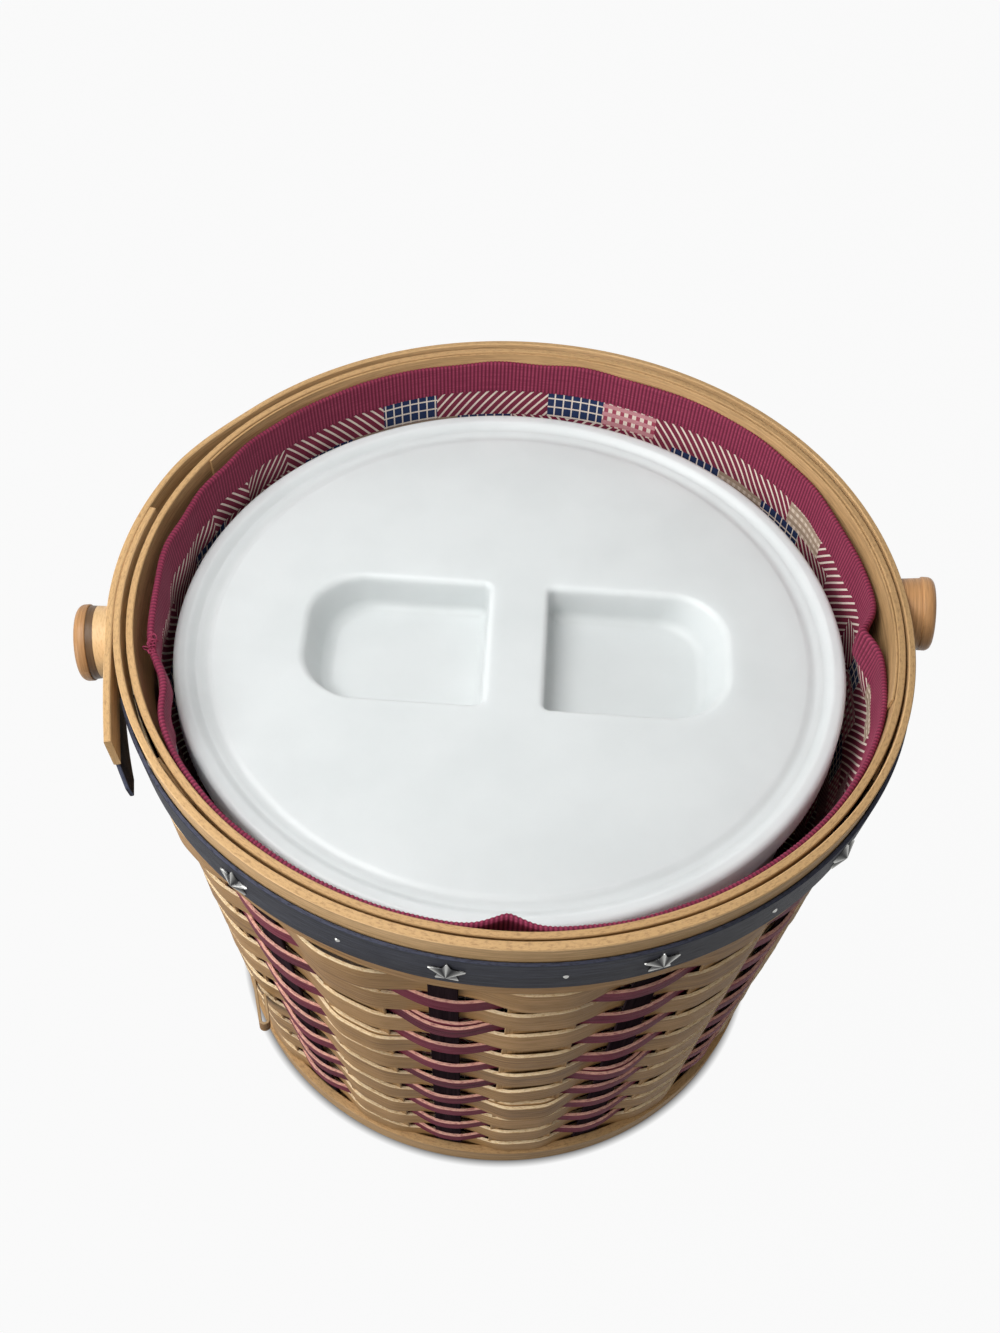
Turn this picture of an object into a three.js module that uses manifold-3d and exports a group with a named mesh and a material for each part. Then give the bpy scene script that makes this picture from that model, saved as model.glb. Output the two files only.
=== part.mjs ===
// Lidded ice bucket basket: a round, tapered splint basket that holds a cloth liner, a plastic tub and
// its lid. Millimetres, +Z up. The origin is the middle of the base, on the table. The knobs stand out
// along X, and -Y is the front. A drop is a distance below the top of the rim, and a wall offset is
// measured outwards from the outer face of the rim bands.

import * as THREE from 'three';
import { mergeVertices } from 'three/addons/utils/BufferGeometryUtils.js';
import Module from 'manifold-3d';

const wasm = await Module();
wasm.setup();

// Overall sizes
const HEIGHT = 223.5;
const RIM_RADIUS = 146;
const BASE_RADIUS = 111.3;
const FIT_GAP = 0.3;
const HOOP_SIDES = 60;

// Splint stock: thicknesses, widths and heights
const BAND_THICKNESS = 2.3;
const UPRIGHT_THICKNESS = 1.0;
const WEAVER_THICKNESS = 1.4;
const TRIM_THICKNESS = 1.8;
const NATURAL_UPRIGHT_WIDTH = 25;
const NAVY_UPRIGHT_WIDTH = 10.5;
const NATURAL_WEAVER_HEIGHT = 10.9;
const BURGUNDY_WEAVER_HEIGHT = 6.4;
const WEAVER_STRAIGHT_MARGIN = 1;
const UPRIGHT_TOP_DROP = 2;

// Base
const LONG_STRIP_COUNT = 6;
const BASE_HOOP_GRIP = 2.7;
const TABLE_CLEARANCE = 0.5;
const BASE_RAMP_RUN = 30;
const FOOT_CLEARANCE = 1.5;
const BASE_BOARD_THICKNESS = 4;

// Rim
const OUTER_BAND_HEIGHT = 13;
const INNER_BAND_HEIGHT = 30;
const TOP_HOOP_LEAST_HEIGHT = 20;
const TOP_HOOP_ROW_GAP = 3.8;
const TRIM_TOP_DROP = 9;
const TRIM_HEIGHT = 18.5;

// Lap of the outer rim band at the left, in degrees from +X, and the loose ends that spring off it
const LAP_START = 156;
const LAP_RAMP = [132, 150];
const BAND_TAIL_LENGTH = 57.5;
const BAND_TAIL_SLANT = 2;
const TRIM_TAIL_LENGTH = 57;
const TRIM_POINT_LENGTH = 8;
const TRIM_POINT_HEIGHT = 2.5;
const TRIM_POINT_RISE = 3;

// Loose end of one natural weaver, over the natural upright just in front of the left knob
const LOOSE_END_HEIGHT = 52;
const LOOSE_END_AZIMUTH = 210;
const LOOSE_END_START = -10.3;
const LOOSE_END_LENGTH = 24.5;
const LOOSE_END_LIFT = 5.2;
const LOOSE_END_CURL = 1.5;
const LOOSE_END_ROUNDING = 0.2;
const LOOSE_END_STATIONS = [0, 0.2, 0.4, 0.6, 0.8, 0.9, 0.96, 0.99];
const LOOSE_END_BITE = 0.4;

// Star studs
const STAR_OUTER_RADIUS = 6.8;
const STAR_INNER_RADIUS = 3.1;
const STAR_RIM = 0.6;
const STAR_CROWN = 1.8;
const STAR_POINTS = 5;

// Knobs
const KNOB_DROP = 13;
const KNOB_NECK_LENGTH = 3.5;
const KNOB_HEAD_RADIUS = 14;
const KNOB_HEAD_THICKNESS = 7.5;
const KNOB_HEAD_EDGE = 2.6;
const KNOB_NECK_RADIUS = 11.2;
const KNOB_TENON_RADIUS = 5;
const KNOB_SIDES = 16;

// Liner
const CLOTH_THICKNESS = 1.2;
const RIBBON_THICKNESS = 0.8;
const RIBBON_HEIGHT = 15;
const RIBBON_SEAM_GAP = 0.9;
const LINER_TOP_DROP = 2;
const FOLD_REACH = 38;
const FOLD_LID_CLEARANCE = 1.5;

// Lid and tub
const LID_DROP = 24;
const LID_ROOM = 8;
const LID_TURN = THREE.MathUtils.degToRad(-7.5);
const LID_PLATE_DROP = 2;
const LID_PLATE_THICKNESS = 3.3;
const LID_LIP_WIDTH = 11.4;
const LID_LIP_SHARES = [0.9, 0.75, 0.55, 0.35, 0.15];
const LID_LIP_FLATNESS = 0.6;
const LID_GROOVE_WIDTH = 4;
const LID_GROOVE_DEPTH = 1.2;
const LID_GROOVE_SIDE = 1;
const LID_SKIRT_HEIGHT = 12;
const LID_WALL = 3;
const LID_PLUG_HEIGHT = 10;
const LID_PLAY = 0.4;
const GRIP_BAR_WIDTH = 21.4;
const POCKET_LENGTH = 69;
const POCKET_WIDTH = 62;
const POCKET_DEPTH = 14;
const POCKET_CORNER_RADIUS = 24;
const POCKET_BAR_CORNER_RADIUS = 2.5;
const POCKET_CORNER_STEPS = 5;
const POCKET_WALL = 2.5;
const POCKET_DRAFT = { bar: 0.6, end: 7, side: 2.5 };
const TUB_WALL = 3;
const TUB_FLANGE_WIDTH = 4.5;
const TUB_FLANGE_HEIGHT = 6;
const TUB_ROOM = 2.5;
const ROUND_SIDES = 48;

// Worked out from the sizes above
const WALL_SLOPE = (RIM_RADIUS - BASE_RADIUS) / HEIGHT;
const WALL_TILT = Math.atan(WALL_SLOPE);
const UPRIGHT_COUNT = 4 * LONG_STRIP_COUNT;
const UPRIGHT_STEP = 2 * Math.PI / UPRIGHT_COUNT;
const HOOP_STEP = 2 * Math.PI / HOOP_SIDES;
const FACET_SAG = RIM_RADIUS * (1 - Math.cos(HOOP_STEP / 2));
const FLAT_STRIP_SAG = NATURAL_UPRIGHT_WIDTH ** 2 / (8 * (BASE_RADIUS - BAND_THICKNESS)) + FACET_SAG;
const LAP_OFFSET = BAND_THICKNESS + FIT_GAP;
const UPRIGHT_FACE = -(BAND_THICKNESS + FIT_GAP + FLAT_STRIP_SAG);
const UPRIGHT_BACK = UPRIGHT_FACE - UPRIGHT_THICKNESS;
const OVER = [UPRIGHT_FACE + FIT_GAP, UPRIGHT_FACE + FIT_GAP + WEAVER_THICKNESS];
const UNDER = [UPRIGHT_BACK - FIT_GAP - WEAVER_THICKNESS, UPRIGHT_BACK - FIT_GAP];
const INNER_BAND = [UPRIGHT_BACK - FIT_GAP - BAND_THICKNESS, UPRIGHT_BACK - FIT_GAP];
const TRIM = [FIT_GAP, FIT_GAP + TRIM_THICKNESS];
const ROW_PITCH = NATURAL_WEAVER_HEIGHT + BURGUNDY_WEAVER_HEIGHT + 2 * FIT_GAP;
const STRIP_STACK = (LONG_STRIP_COUNT - 1) * (UPRIGHT_THICKNESS + FIT_GAP);
const BASE_STRIP_LEVEL = TABLE_CLEARANCE + STRIP_STACK + UPRIGHT_THICKNESS / 2;
const BASE_HOOP_HEIGHT = BASE_STRIP_LEVEL + BASE_HOOP_GRIP;
const ROWS_BOTTOM = BASE_HOOP_HEIGHT + FIT_GAP;
const TOP_HOOP_TOP = HEIGHT - OUTER_BAND_HEIGHT - FIT_GAP;
const TOP_HOOP_LIMIT = TOP_HOOP_TOP - TOP_HOOP_LEAST_HEIGHT - TOP_HOOP_ROW_GAP;
const ROWS_LIMIT = Math.min(TOP_HOOP_LIMIT, HEIGHT - INNER_BAND_HEIGHT - FIT_GAP);
const NATURAL_ROWS = Math.floor((ROWS_LIMIT - ROWS_BOTTOM - NATURAL_WEAVER_HEIGHT) / ROW_PITCH) + 1;
const ROWS_TOP = ROWS_BOTTOM + (NATURAL_ROWS - 1) * ROW_PITCH + NATURAL_WEAVER_HEIGHT;
const BOARD_BOTTOM = BASE_STRIP_LEVEL + UPRIGHT_THICKNESS / 2 + FIT_GAP;
const BOARD_TOP = BOARD_BOTTOM + BASE_BOARD_THICKNESS;
const LINER_OFFSET = Math.min(INNER_BAND[0], UNDER[0]) - FACET_SAG - FIT_GAP;
const LINER_BOTTOM = BOARD_TOP + FIT_GAP;
const LINER_TOP = HEIGHT - LINER_TOP_DROP;
const TUB_BOTTOM = LINER_BOTTOM + CLOTH_THICKNESS + FIT_GAP;
const LID_TOP = HEIGHT - LID_DROP;
const LID_RADIUS = wallRadius(LID_TOP) + LINER_OFFSET - CLOTH_THICKNESS - LID_ROOM;
const RIBBON_DEPTH = CLOTH_THICKNESS + RIBBON_SEAM_GAP;
const EDGE_RADIUS = wallRadius(LINER_TOP) + LINER_OFFSET - RIBBON_DEPTH - RIBBON_THICKNESS;
const FOLD_DEPTH = EDGE_RADIUS - LID_RADIUS - FOLD_LID_CLEARANCE;
const LEFT_SIDE = HOOP_SIDES / 2;
const TAIL_ROOM_ANGLE = Math.acos((RIM_RADIUS + FIT_GAP) / (RIM_RADIUS + TRIM[1] + 2 * FIT_GAP));
const TRIM_START_SIDE = Math.ceil(LEFT_SIDE + TAIL_ROOM_ANGLE / HOOP_STEP);
const KNOB_STAND = knobSeat(1) + KNOB_NECK_LENGTH + KNOB_HEAD_THICKNESS;

// Main folds of the liner's edge: where each one is, its share of the deepest fold, and how far it spreads
const FOLDS = [
  { azimuth: -1, share: 0.6, spread: 13 },
  { azimuth: -4, share: 0.4, spread: 6 },
  { azimuth: 183, share: 0.72, spread: 24 },
  { azimuth: -96, share: 0.8, spread: 6 },
  { azimuth: 90, share: 0.25, spread: 50 },
];

function wallRadius(z) {
  return BASE_RADIUS + WALL_SLOPE * z;
}

function hoopSide(degrees) {
  return Math.round(degrees / 360 * HOOP_SIDES);
}

// How far a knob's shoulder stands off the wall, over the trim strip's top edge and any layers of a lap.
function knobSeat(layers) {
  return TRIM[1] + FIT_GAP + layers * LAP_OFFSET + WALL_SLOPE * (KNOB_DROP - TRIM_TOP_DROP);
}

// A point at an azimuth, a distance from the axis along it, a height, and a shift sideways along the tangent.
function polar(azimuth, distance, z, sideways = 0) {
  const c = Math.cos(azimuth);
  const s = Math.sin(azimuth);
  return new THREE.Vector3(distance * c - sideways * s, distance * s + sideways * c, z);
}

// The four corners of a strip that lies along the wall: two wall offsets and two heights.
function wallSection(azimuth, [inside, outside], bottom, top, sideways = 0) {
  const corners = [[inside, bottom], [outside, bottom], [outside, top], [inside, top]];
  return corners.map(([offset, z]) => polar(azimuth, wallRadius(z) + offset, z, sideways));
}

// A closed solid through a row of equal loops, either bent round into a ring or closed by a cap at each
// end. The last cap can rise to a point.
function skin(loops, { ring = false, crown = 0 } = {}) {
  const count = loops[0].length;
  const points = loops.flat();
  const triangles = [];
  const joints = ring ? loops.length : loops.length - 1;
  for (let i = 0; i < joints; i += 1) {
    const near = i * count;
    const far = ((i + 1) % loops.length) * count;
    for (let j = 0; j < count; j += 1) {
      const k = (j + 1) % count;
      triangles.push([near + j, near + k, far + k], [near + j, far + k, far + j]);
    }
  }
  const addCap = (start, flip, rise) => {
    const loop = points.slice(start, start + count);
    const middle = loop.reduce((sum, p) => sum.add(p), new THREE.Vector3()).divideScalar(count);
    points.push(middle.add(rise));
    for (let j = 0; j < count; j += 1) {
      const edge = [start + j, start + (j + 1) % count];
      triangles.push([points.length - 1, ...(flip ? edge.reverse() : edge)]);
    }
  };
  if (!ring) {
    const side = new THREE.Vector3().subVectors(loops.at(-1)[0], loops.at(-2)[0]).normalize();
    addCap(0, true, new THREE.Vector3());
    addCap((loops.length - 1) * count, false, side.multiplyScalar(crown));
  }
  const volume = triangles.reduce((sum, [a, b, c]) => {
    return sum + points[a].dot(new THREE.Vector3().crossVectors(points[b], points[c]));
  }, 0);
  const outward = volume > 0 ? triangles : triangles.map(([a, b, c]) => [a, c, b]);
  const geometry = new THREE.BufferGeometry().setFromPoints(points);
  geometry.setIndex(outward.flat());
  geometry.computeVertexNormals();
  return geometry;
}

// Joins and cuts
function solidOf(geometry) {
  const bare = geometry.clone();
  bare.deleteAttribute('normal');
  bare.deleteAttribute('uv');
  const merged = mergeVertices(bare, 1e-4);
  return new wasm.Manifold(new wasm.Mesh({
    numProp: 3,
    vertProperties: new Float32Array(merged.attributes.position.array),
    triVerts: new Uint32Array(merged.index.array),
  }));
}

function geometryOf(solid) {
  const mesh = solid.getMesh();
  const geometry = new THREE.BufferGeometry();
  geometry.setAttribute('position', new THREE.BufferAttribute(mesh.vertProperties, 3));
  geometry.setIndex(new THREE.BufferAttribute(mesh.triVerts, 1));
  geometry.computeVertexNormals();
  return geometry;
}

function cut(geometry, tools) {
  return geometryOf(tools.reduce((solid, tool) => solid.subtract(solidOf(tool)), solidOf(geometry)));
}

function join(geometry, others) {
  return geometryOf(others.reduce((solid, other) => solid.add(solidOf(other)), solidOf(geometry)));
}

// A round piece turned about the vertical axis from its profile of radius and height.
function turned(profile, sides = ROUND_SIDES) {
  const outline = profile.map(([radius, z]) => new THREE.Vector2(radius, z));
  return new THREE.LatheGeometry(outline, sides).rotateX(Math.PI / 2);
}

const FINISHES = {
  natural: new THREE.MeshStandardMaterial({ color: '#a3814f', roughness: 0.6, metalness: 0 }),
  paleWood: new THREE.MeshStandardMaterial({ color: '#b48f5c', roughness: 0.6, metalness: 0 }),
  burgundy: new THREE.MeshStandardMaterial({ color: '#743a49', roughness: 0.6, metalness: 0 }),
  navy: new THREE.MeshStandardMaterial({ color: '#363844', roughness: 0.55, metalness: 0 }),
  knob: new THREE.MeshStandardMaterial({ color: '#9a6b48', roughness: 0.45, metalness: 0 }),
  nickel: new THREE.MeshStandardMaterial({ color: '#8f8d88', roughness: 0.35, metalness: 1 }),
  cloth: new THREE.MeshStandardMaterial({ color: '#9b8a7c', roughness: 0.9, metalness: 0 }),
  ribbon: new THREE.MeshStandardMaterial({ color: '#7e2b47', roughness: 0.7, metalness: 0 }),
  plastic: new THREE.MeshStandardMaterial({ color: '#e6e8e9', roughness: 0.4, metalness: 0 }),
};

const object = new THREE.Group();
const basket = new THREE.Group();
const bucket = new THREE.Group();
object.add(basket, bucket);

function addPiece(group, name, geometry, finish) {
  const mesh = new THREE.Mesh(geometry, FINISHES[finish]);
  mesh.name = name;
  group.add(mesh);
  return mesh;
}

function numbered(name, index) {
  return `${name}_${String(index + 1).padStart(2, '0')}`;
}

// Knob placement: the local Y axis leaves the wall level.
function knobFrame(azimuth) {
  const across = polar(azimuth, 0, 0, 1);
  const outward = polar(azimuth, 1, 0);
  const third = new THREE.Vector3().crossVectors(across, outward);
  const height = HEIGHT - KNOB_DROP;
  const foot = polar(azimuth, wallRadius(height), height);
  return new THREE.Matrix4().makeBasis(across, outward, third).setPosition(foot);
}

const KNOBS = [
  { name: 'knob_right', azimuth: 0, layers: 0 },
  { name: 'knob_left', azimuth: Math.PI, layers: 1 },
];

// Holes for the knobs' tenons, drilled level through every layer of the rim.
function tenonHoles() {
  const radius = KNOB_TENON_RADIUS + FIT_GAP;
  const reach = 2 * (KNOB_STAND - LINER_OFFSET);
  return KNOBS.map(({ azimuth }) => {
    const drill = new THREE.CylinderGeometry(radius, radius, reach, KNOB_SIDES);
    return drill.applyMatrix4(knobFrame(azimuth));
  });
}

// Uprights. A flat strip bent in its own plane, carried across its width.
function bentStrip(path, width, azimuth) {
  const half = UPRIGHT_THICKNESS / 2;
  const sides = [[], []];
  path.forEach((point, i) => {
    const before = point.clone().sub(path[Math.max(i - 1, 0)]);
    const after = path[Math.min(i + 1, path.length - 1)].clone().sub(point);
    const legs = [before, after].filter((leg) => leg.length() > 0).map((leg) => leg.normalize());
    const along = legs.reduce((sum, leg) => sum.clone().add(leg)).normalize();
    const mitre = half / along.dot(legs[0]);
    const normal = new THREE.Vector2(-along.y, along.x);
    sides[0].push(point.clone().addScaledVector(normal, mitre));
    sides[1].unshift(point.clone().addScaledVector(normal, -mitre));
  });
  const shape = new THREE.Shape(sides.flat());
  const geometry = new THREE.ExtrudeGeometry(shape, { depth: width, bevelEnabled: false });
  return geometry.translate(0, 0, -width / 2).rotateX(Math.PI / 2).rotateZ(azimuth);
}

function uprightMiddle(z) {
  return wallRadius(z) + (UPRIGHT_FACE + UPRIGHT_BACK) / 2;
}

// A wall strip from its top down to the bend, then inwards under the base.
function wallLeg() {
  const top = HEIGHT - UPRIGHT_TOP_DROP;
  return [
    new THREE.Vector2(uprightMiddle(top), top),
    new THREE.Vector2(uprightMiddle(BASE_STRIP_LEVEL), BASE_STRIP_LEVEL),
  ];
}

function longStrip(index) {
  const level = BASE_STRIP_LEVEL - index * (UPRIGHT_THICKNESS + FIT_GAP);
  const crossing = NATURAL_UPRIGHT_WIDTH / 2 / Math.sin(UPRIGHT_STEP) + FIT_GAP;
  const half = wallLeg();
  if (index > 0) {
    const rampTop = new THREE.Vector2(crossing + BASE_RAMP_RUN, BASE_STRIP_LEVEL);
    half.push(rampTop, new THREE.Vector2(crossing, level));
  }
  const mirrored = half.map((p) => new THREE.Vector2(-p.x, p.y)).reverse();
  return bentStrip([...half, ...mirrored], NATURAL_UPRIGHT_WIDTH, index * 2 * UPRIGHT_STEP);
}

function navyStave(index) {
  const reach = NATURAL_UPRIGHT_WIDTH / 2 + NAVY_UPRIGHT_WIDTH / 2 * Math.cos(UPRIGHT_STEP) + FOOT_CLEARANCE;
  const toe = new THREE.Vector2(reach / Math.sin(UPRIGHT_STEP), BASE_STRIP_LEVEL);
  return bentStrip([...wallLeg(), toe], NAVY_UPRIGHT_WIDTH, (2 * index + 1) * UPRIGHT_STEP);
}

for (let i = 0; i < LONG_STRIP_COUNT; i += 1) {
  const plain = longStrip(i);
  addPiece(basket, numbered('natural_strip', i), i === 0 ? cut(plain, tenonHoles()) : plain, 'natural');
}
for (let i = 0; i < UPRIGHT_COUNT / 2; i += 1) {
  addPiece(basket, numbered('navy_stave', i), navyStave(i), 'navy');
}

// Weavers. Each row runs straight over or under an upright, and slants between one upright and the next.
function isNatural(upright) {
  return upright % 2 === 0;
}

function weaver(rowIsNatural, bottom, top) {
  const loops = [];
  for (let upright = 0; upright < UPRIGHT_COUNT; upright += 1) {
    const width = isNatural(upright) ? NATURAL_UPRIGHT_WIDTH : NAVY_UPRIGHT_WIDTH;
    const layer = isNatural(upright) === rowIsNatural ? OVER : UNDER;
    const reach = width / 2 + WEAVER_STRAIGHT_MARGIN;
    for (const sideways of [-reach, reach]) {
      loops.push(wallSection(upright * UPRIGHT_STEP, layer, bottom, top, sideways));
    }
  }
  return skin(loops, { ring: true });
}

// The sprung end of a weaver: it peels off the wall and its free end is rounded.
function looseEnd(bottom, top) {
  const middle = (bottom + top) / 2;
  const azimuth = 2 * Math.round(LOOSE_END_AZIMUTH / 720 * UPRIGHT_COUNT) * UPRIGHT_STEP;
  const loops = LOOSE_END_STATIONS.map((share) => {
    const turn = Math.max(0, share - 1 + LOOSE_END_ROUNDING) / LOOSE_END_ROUNDING;
    const half = (top - bottom) / 2 * Math.sqrt(1 - turn ** 2);
    const inside = OVER[1] - LOOSE_END_BITE + LOOSE_END_LIFT * share ** LOOSE_END_CURL;
    const sideways = LOOSE_END_START + LOOSE_END_LENGTH * share;
    const layer = [inside, inside + WEAVER_THICKNESS];
    return wallSection(azimuth, layer, middle - half, middle + half, sideways);
  });
  return skin(loops);
}

const looseRow = Math.round((LOOSE_END_HEIGHT - ROWS_BOTTOM - NATURAL_WEAVER_HEIGHT / 2) / ROW_PITCH);
for (let row = 0; row < NATURAL_ROWS; row += 1) {
  const bottom = ROWS_BOTTOM + row * ROW_PITCH;
  const top = bottom + NATURAL_WEAVER_HEIGHT;
  const plain = weaver(true, bottom, top);
  const geometry = row === looseRow ? join(plain, [looseEnd(bottom, top)]) : plain;
  addPiece(basket, numbered('natural_weaver', row), geometry, 'natural');
}
for (let row = 0; row < NATURAL_ROWS - 1; row += 1) {
  const bottom = ROWS_BOTTOM + row * ROW_PITCH + NATURAL_WEAVER_HEIGHT + FIT_GAP;
  const geometry = weaver(false, bottom, bottom + BURGUNDY_WEAVER_HEIGHT);
  addPiece(basket, numbered('burgundy_weaver', row), geometry, 'burgundy');
}

// Hoops and rim bands
function hoop(layer, bottom, top) {
  const sectionAt = (side) => wallSection(side * HOOP_STEP, layer, bottom, top);
  const loops = Array.from({ length: HOOP_SIDES }, (_, side) => sectionAt(side));
  return skin(loops, { ring: true });
}

// How far the lapped band stands off the wall at a hoop side, counted past a full turn.
function lapOffset(side) {
  const [start, end] = LAP_RAMP.map((degrees) => hoopSide(degrees) + HOOP_SIDES);
  return LAP_OFFSET * THREE.MathUtils.smoothstep(side, start, end);
}

// A band that starts on the wall, goes once round, laps over its own start and springs off straight at
// the left.
function lappedBand(layer, startSide, bottom, top, tail) {
  const loops = [];
  const lastSide = HOOP_SIDES + LEFT_SIDE;
  for (let side = startSide; side <= lastSide; side += 1) {
    const stands = layer.map((offset) => offset + lapOffset(side));
    loops.push(wallSection(side * HOOP_STEP, stands, bottom, top));
  }
  const stands = layer.map((offset) => offset + LAP_OFFSET);
  for (const { low, high, lowReach, highReach } of tail) {
    const lower = wallSection(lastSide * HOOP_STEP, stands, low, high, lowReach);
    const upper = wallSection(lastSide * HOOP_STEP, stands, low, high, highReach);
    loops.push([lower[0], lower[1], upper[2], upper[3]]);
  }
  return skin(loops);
}

function outerRimBand() {
  const low = HEIGHT - OUTER_BAND_HEIGHT;
  const lowReach = BAND_TAIL_LENGTH - BAND_TAIL_SLANT;
  const tail = [{ low, high: HEIGHT, lowReach, highReach: BAND_TAIL_LENGTH }];
  return lappedBand([-BAND_THICKNESS, 0], hoopSide(LAP_START), low, HEIGHT, tail);
}

function trimStrip() {
  const high = HEIGHT - TRIM_TOP_DROP;
  const low = high - TRIM_HEIGHT;
  const pointLow = low + TRIM_POINT_RISE;
  const tip = TRIM_TAIL_LENGTH + TRIM_POINT_LENGTH;
  const tail = [
    { low, high, lowReach: TRIM_TAIL_LENGTH, highReach: TRIM_TAIL_LENGTH },
    { low: pointLow, high: pointLow + TRIM_POINT_HEIGHT, lowReach: tip, highReach: tip },
  ];
  return lappedBand(TRIM, TRIM_START_SIDE, low, high, tail);
}

const topHoop = hoop([-BAND_THICKNESS, 0], ROWS_TOP + TOP_HOOP_ROW_GAP, TOP_HOOP_TOP);
const innerBand = hoop(INNER_BAND, HEIGHT - INNER_BAND_HEIGHT, HEIGHT);
addPiece(basket, 'base_hoop', hoop([-BAND_THICKNESS, 0], 0, BASE_HOOP_HEIGHT), 'paleWood');
addPiece(basket, 'top_hoop', cut(topHoop, tenonHoles()), 'natural');
addPiece(basket, 'inner_rim_band', cut(innerBand, tenonHoles()), 'paleWood');
addPiece(basket, 'outer_rim_band', cut(outerRimBand(), tenonHoles()), 'paleWood');
addPiece(basket, 'trim_strip', cut(trimStrip(), tenonHoles()), 'navy');

// Base board, laid on the crossing strips
const boardRadius = wallRadius(BOARD_BOTTOM) + UNDER[0] - FIT_GAP;
const board = turned([
  [0, BOARD_BOTTOM],
  [boardRadius, BOARD_BOTTOM],
  [boardRadius, BOARD_TOP],
  [0, BOARD_TOP],
]);
addPiece(basket, 'base_board', board, 'natural');

// Star studs, one on the trim strip over each navy stave, except under the sprung end of the rim band
function starStud() {
  const loopAt = (z) => Array.from({ length: 2 * STAR_POINTS }, (_, i) => {
    const radius = i % 2 === 0 ? STAR_OUTER_RADIUS : STAR_INNER_RADIUS;
    const angle = Math.PI / 2 + i * Math.PI / STAR_POINTS;
    return new THREE.Vector3(radius * Math.cos(angle), radius * Math.sin(angle), z);
  });
  return skin([loopAt(0), loopAt(STAR_RIM)], { crown: STAR_CROWN });
}

const starHeight = HEIGHT - TRIM_TOP_DROP - TRIM_HEIGHT / 2;
for (let i = 0; i < UPRIGHT_COUNT / 2; i += 1) {
  const azimuth = (2 * i + 1) * UPRIGHT_STEP;
  const side = azimuth / HOOP_STEP;
  const underTail = side > LEFT_SIDE && side < TRIM_START_SIDE + 1;
  if (!underTail) {
    const lap = lapOffset(side + HOOP_SIDES) * (side < LEFT_SIDE ? 1 : 0);
    const seat = wallRadius(starHeight) + TRIM[1] + FIT_GAP + lap;
    const stud = addPiece(basket, numbered('star_stud', i), starStud(), 'nickel');
    stud.position.copy(polar(azimuth, seat, starHeight));
    const up = polar(azimuth, Math.sin(WALL_TILT), Math.cos(WALL_TILT));
    const outward = polar(azimuth, Math.cos(WALL_TILT), -Math.sin(WALL_TILT));
    const across = new THREE.Vector3().crossVectors(up, outward);
    stud.quaternion.setFromRotationMatrix(new THREE.Matrix4().makeBasis(across, up, outward));
  }
}

// Knobs: a tenon through the rim bands, a neck that sits on the trim strip, and a rounded head
function knob(layers) {
  const seat = knobSeat(layers);
  const headBack = KNOB_STAND - KNOB_HEAD_THICKNESS;
  const tenonEnd = INNER_BAND[0] + WALL_SLOPE * KNOB_TENON_RADIUS + FIT_GAP;
  const edge = KNOB_HEAD_EDGE;
  const round = (middle, from) => [0, 1, 2, 3].map((i) => {
    const angle = from + i * Math.PI / 6;
    return [KNOB_HEAD_RADIUS - edge + edge * Math.cos(angle), middle + edge * Math.sin(angle)];
  });
  const profile = [
    [0, tenonEnd],
    [KNOB_TENON_RADIUS, tenonEnd],
    [KNOB_TENON_RADIUS, seat],
    [KNOB_NECK_RADIUS, seat],
    [KNOB_NECK_RADIUS, headBack],
    ...round(headBack + edge, -Math.PI / 2),
    ...round(KNOB_STAND - edge, 0),
    [0, KNOB_STAND],
  ];
  return new THREE.LatheGeometry(profile.map(([radius, y]) => new THREE.Vector2(radius, y)), KNOB_SIDES);
}

for (const { name, azimuth, layers } of KNOBS) {
  addPiece(basket, name, knob(layers), 'knob').applyMatrix4(knobFrame(azimuth));
}

// Liner: a cloth bag that follows the wall, with its main folds at the edge, and the ribbon sewn inside
// the edge
function foldDepth(azimuth, z) {
  const degrees = THREE.MathUtils.radToDeg(azimuth);
  const share = FOLDS.reduce((sum, fold) => {
    const away = THREE.MathUtils.euclideanModulo(degrees - fold.azimuth + 180, 360) - 180;
    return sum + fold.share * Math.exp(-((away / fold.spread) ** 2));
  }, 0);
  return FOLD_DEPTH * Math.min(share, 1) * THREE.MathUtils.smoothstep(z, LINER_TOP - FOLD_REACH, LINER_TOP);
}

function folded(geometry) {
  const places = geometry.attributes.position;
  for (let i = 0; i < places.count; i += 1) {
    const [x, y, z] = [places.getX(i), places.getY(i), places.getZ(i)];
    const radius = Math.hypot(x, y);
    const share = radius > 0 ? 1 - foldDepth(Math.atan2(y, x), z) / radius : 1;
    places.setXYZ(i, x * share, y * share, z);
  }
  geometry.computeVertexNormals();
  return geometry;
}

const clothDrops = [FOLD_REACH, (FOLD_REACH + RIBBON_HEIGHT) / 2, RIBBON_HEIGHT, RIBBON_HEIGHT / 2, 0];
const clothHeights = clothDrops.map((drop) => LINER_TOP - drop);
const clothFace = (z, depth) => [wallRadius(z) + LINER_OFFSET - depth, z];
const linerBag = turned([
  [0, LINER_BOTTOM],
  clothFace(LINER_BOTTOM, 0),
  ...clothHeights.map((z) => clothFace(z, 0)),
  ...clothHeights.map((z) => clothFace(z, CLOTH_THICKNESS)).reverse(),
  clothFace(LINER_BOTTOM + CLOTH_THICKNESS, CLOTH_THICKNESS),
  [0, LINER_BOTTOM + CLOTH_THICKNESS],
]);
addPiece(basket, 'liner_bag', folded(linerBag), 'cloth');

const ribbonHeights = clothHeights.filter((z) => z >= LINER_TOP - RIBBON_HEIGHT);
const ribbonOutside = ribbonHeights.map((z) => clothFace(z, RIBBON_DEPTH));
const ribbonInside = ribbonHeights.map((z) => clothFace(z, RIBBON_DEPTH + RIBBON_THICKNESS)).reverse();
const ribbon = turned([...ribbonOutside, ...ribbonInside, ribbonOutside[0]]);
addPiece(basket, 'liner_ribbon', folded(ribbon), 'ribbon');

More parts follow.
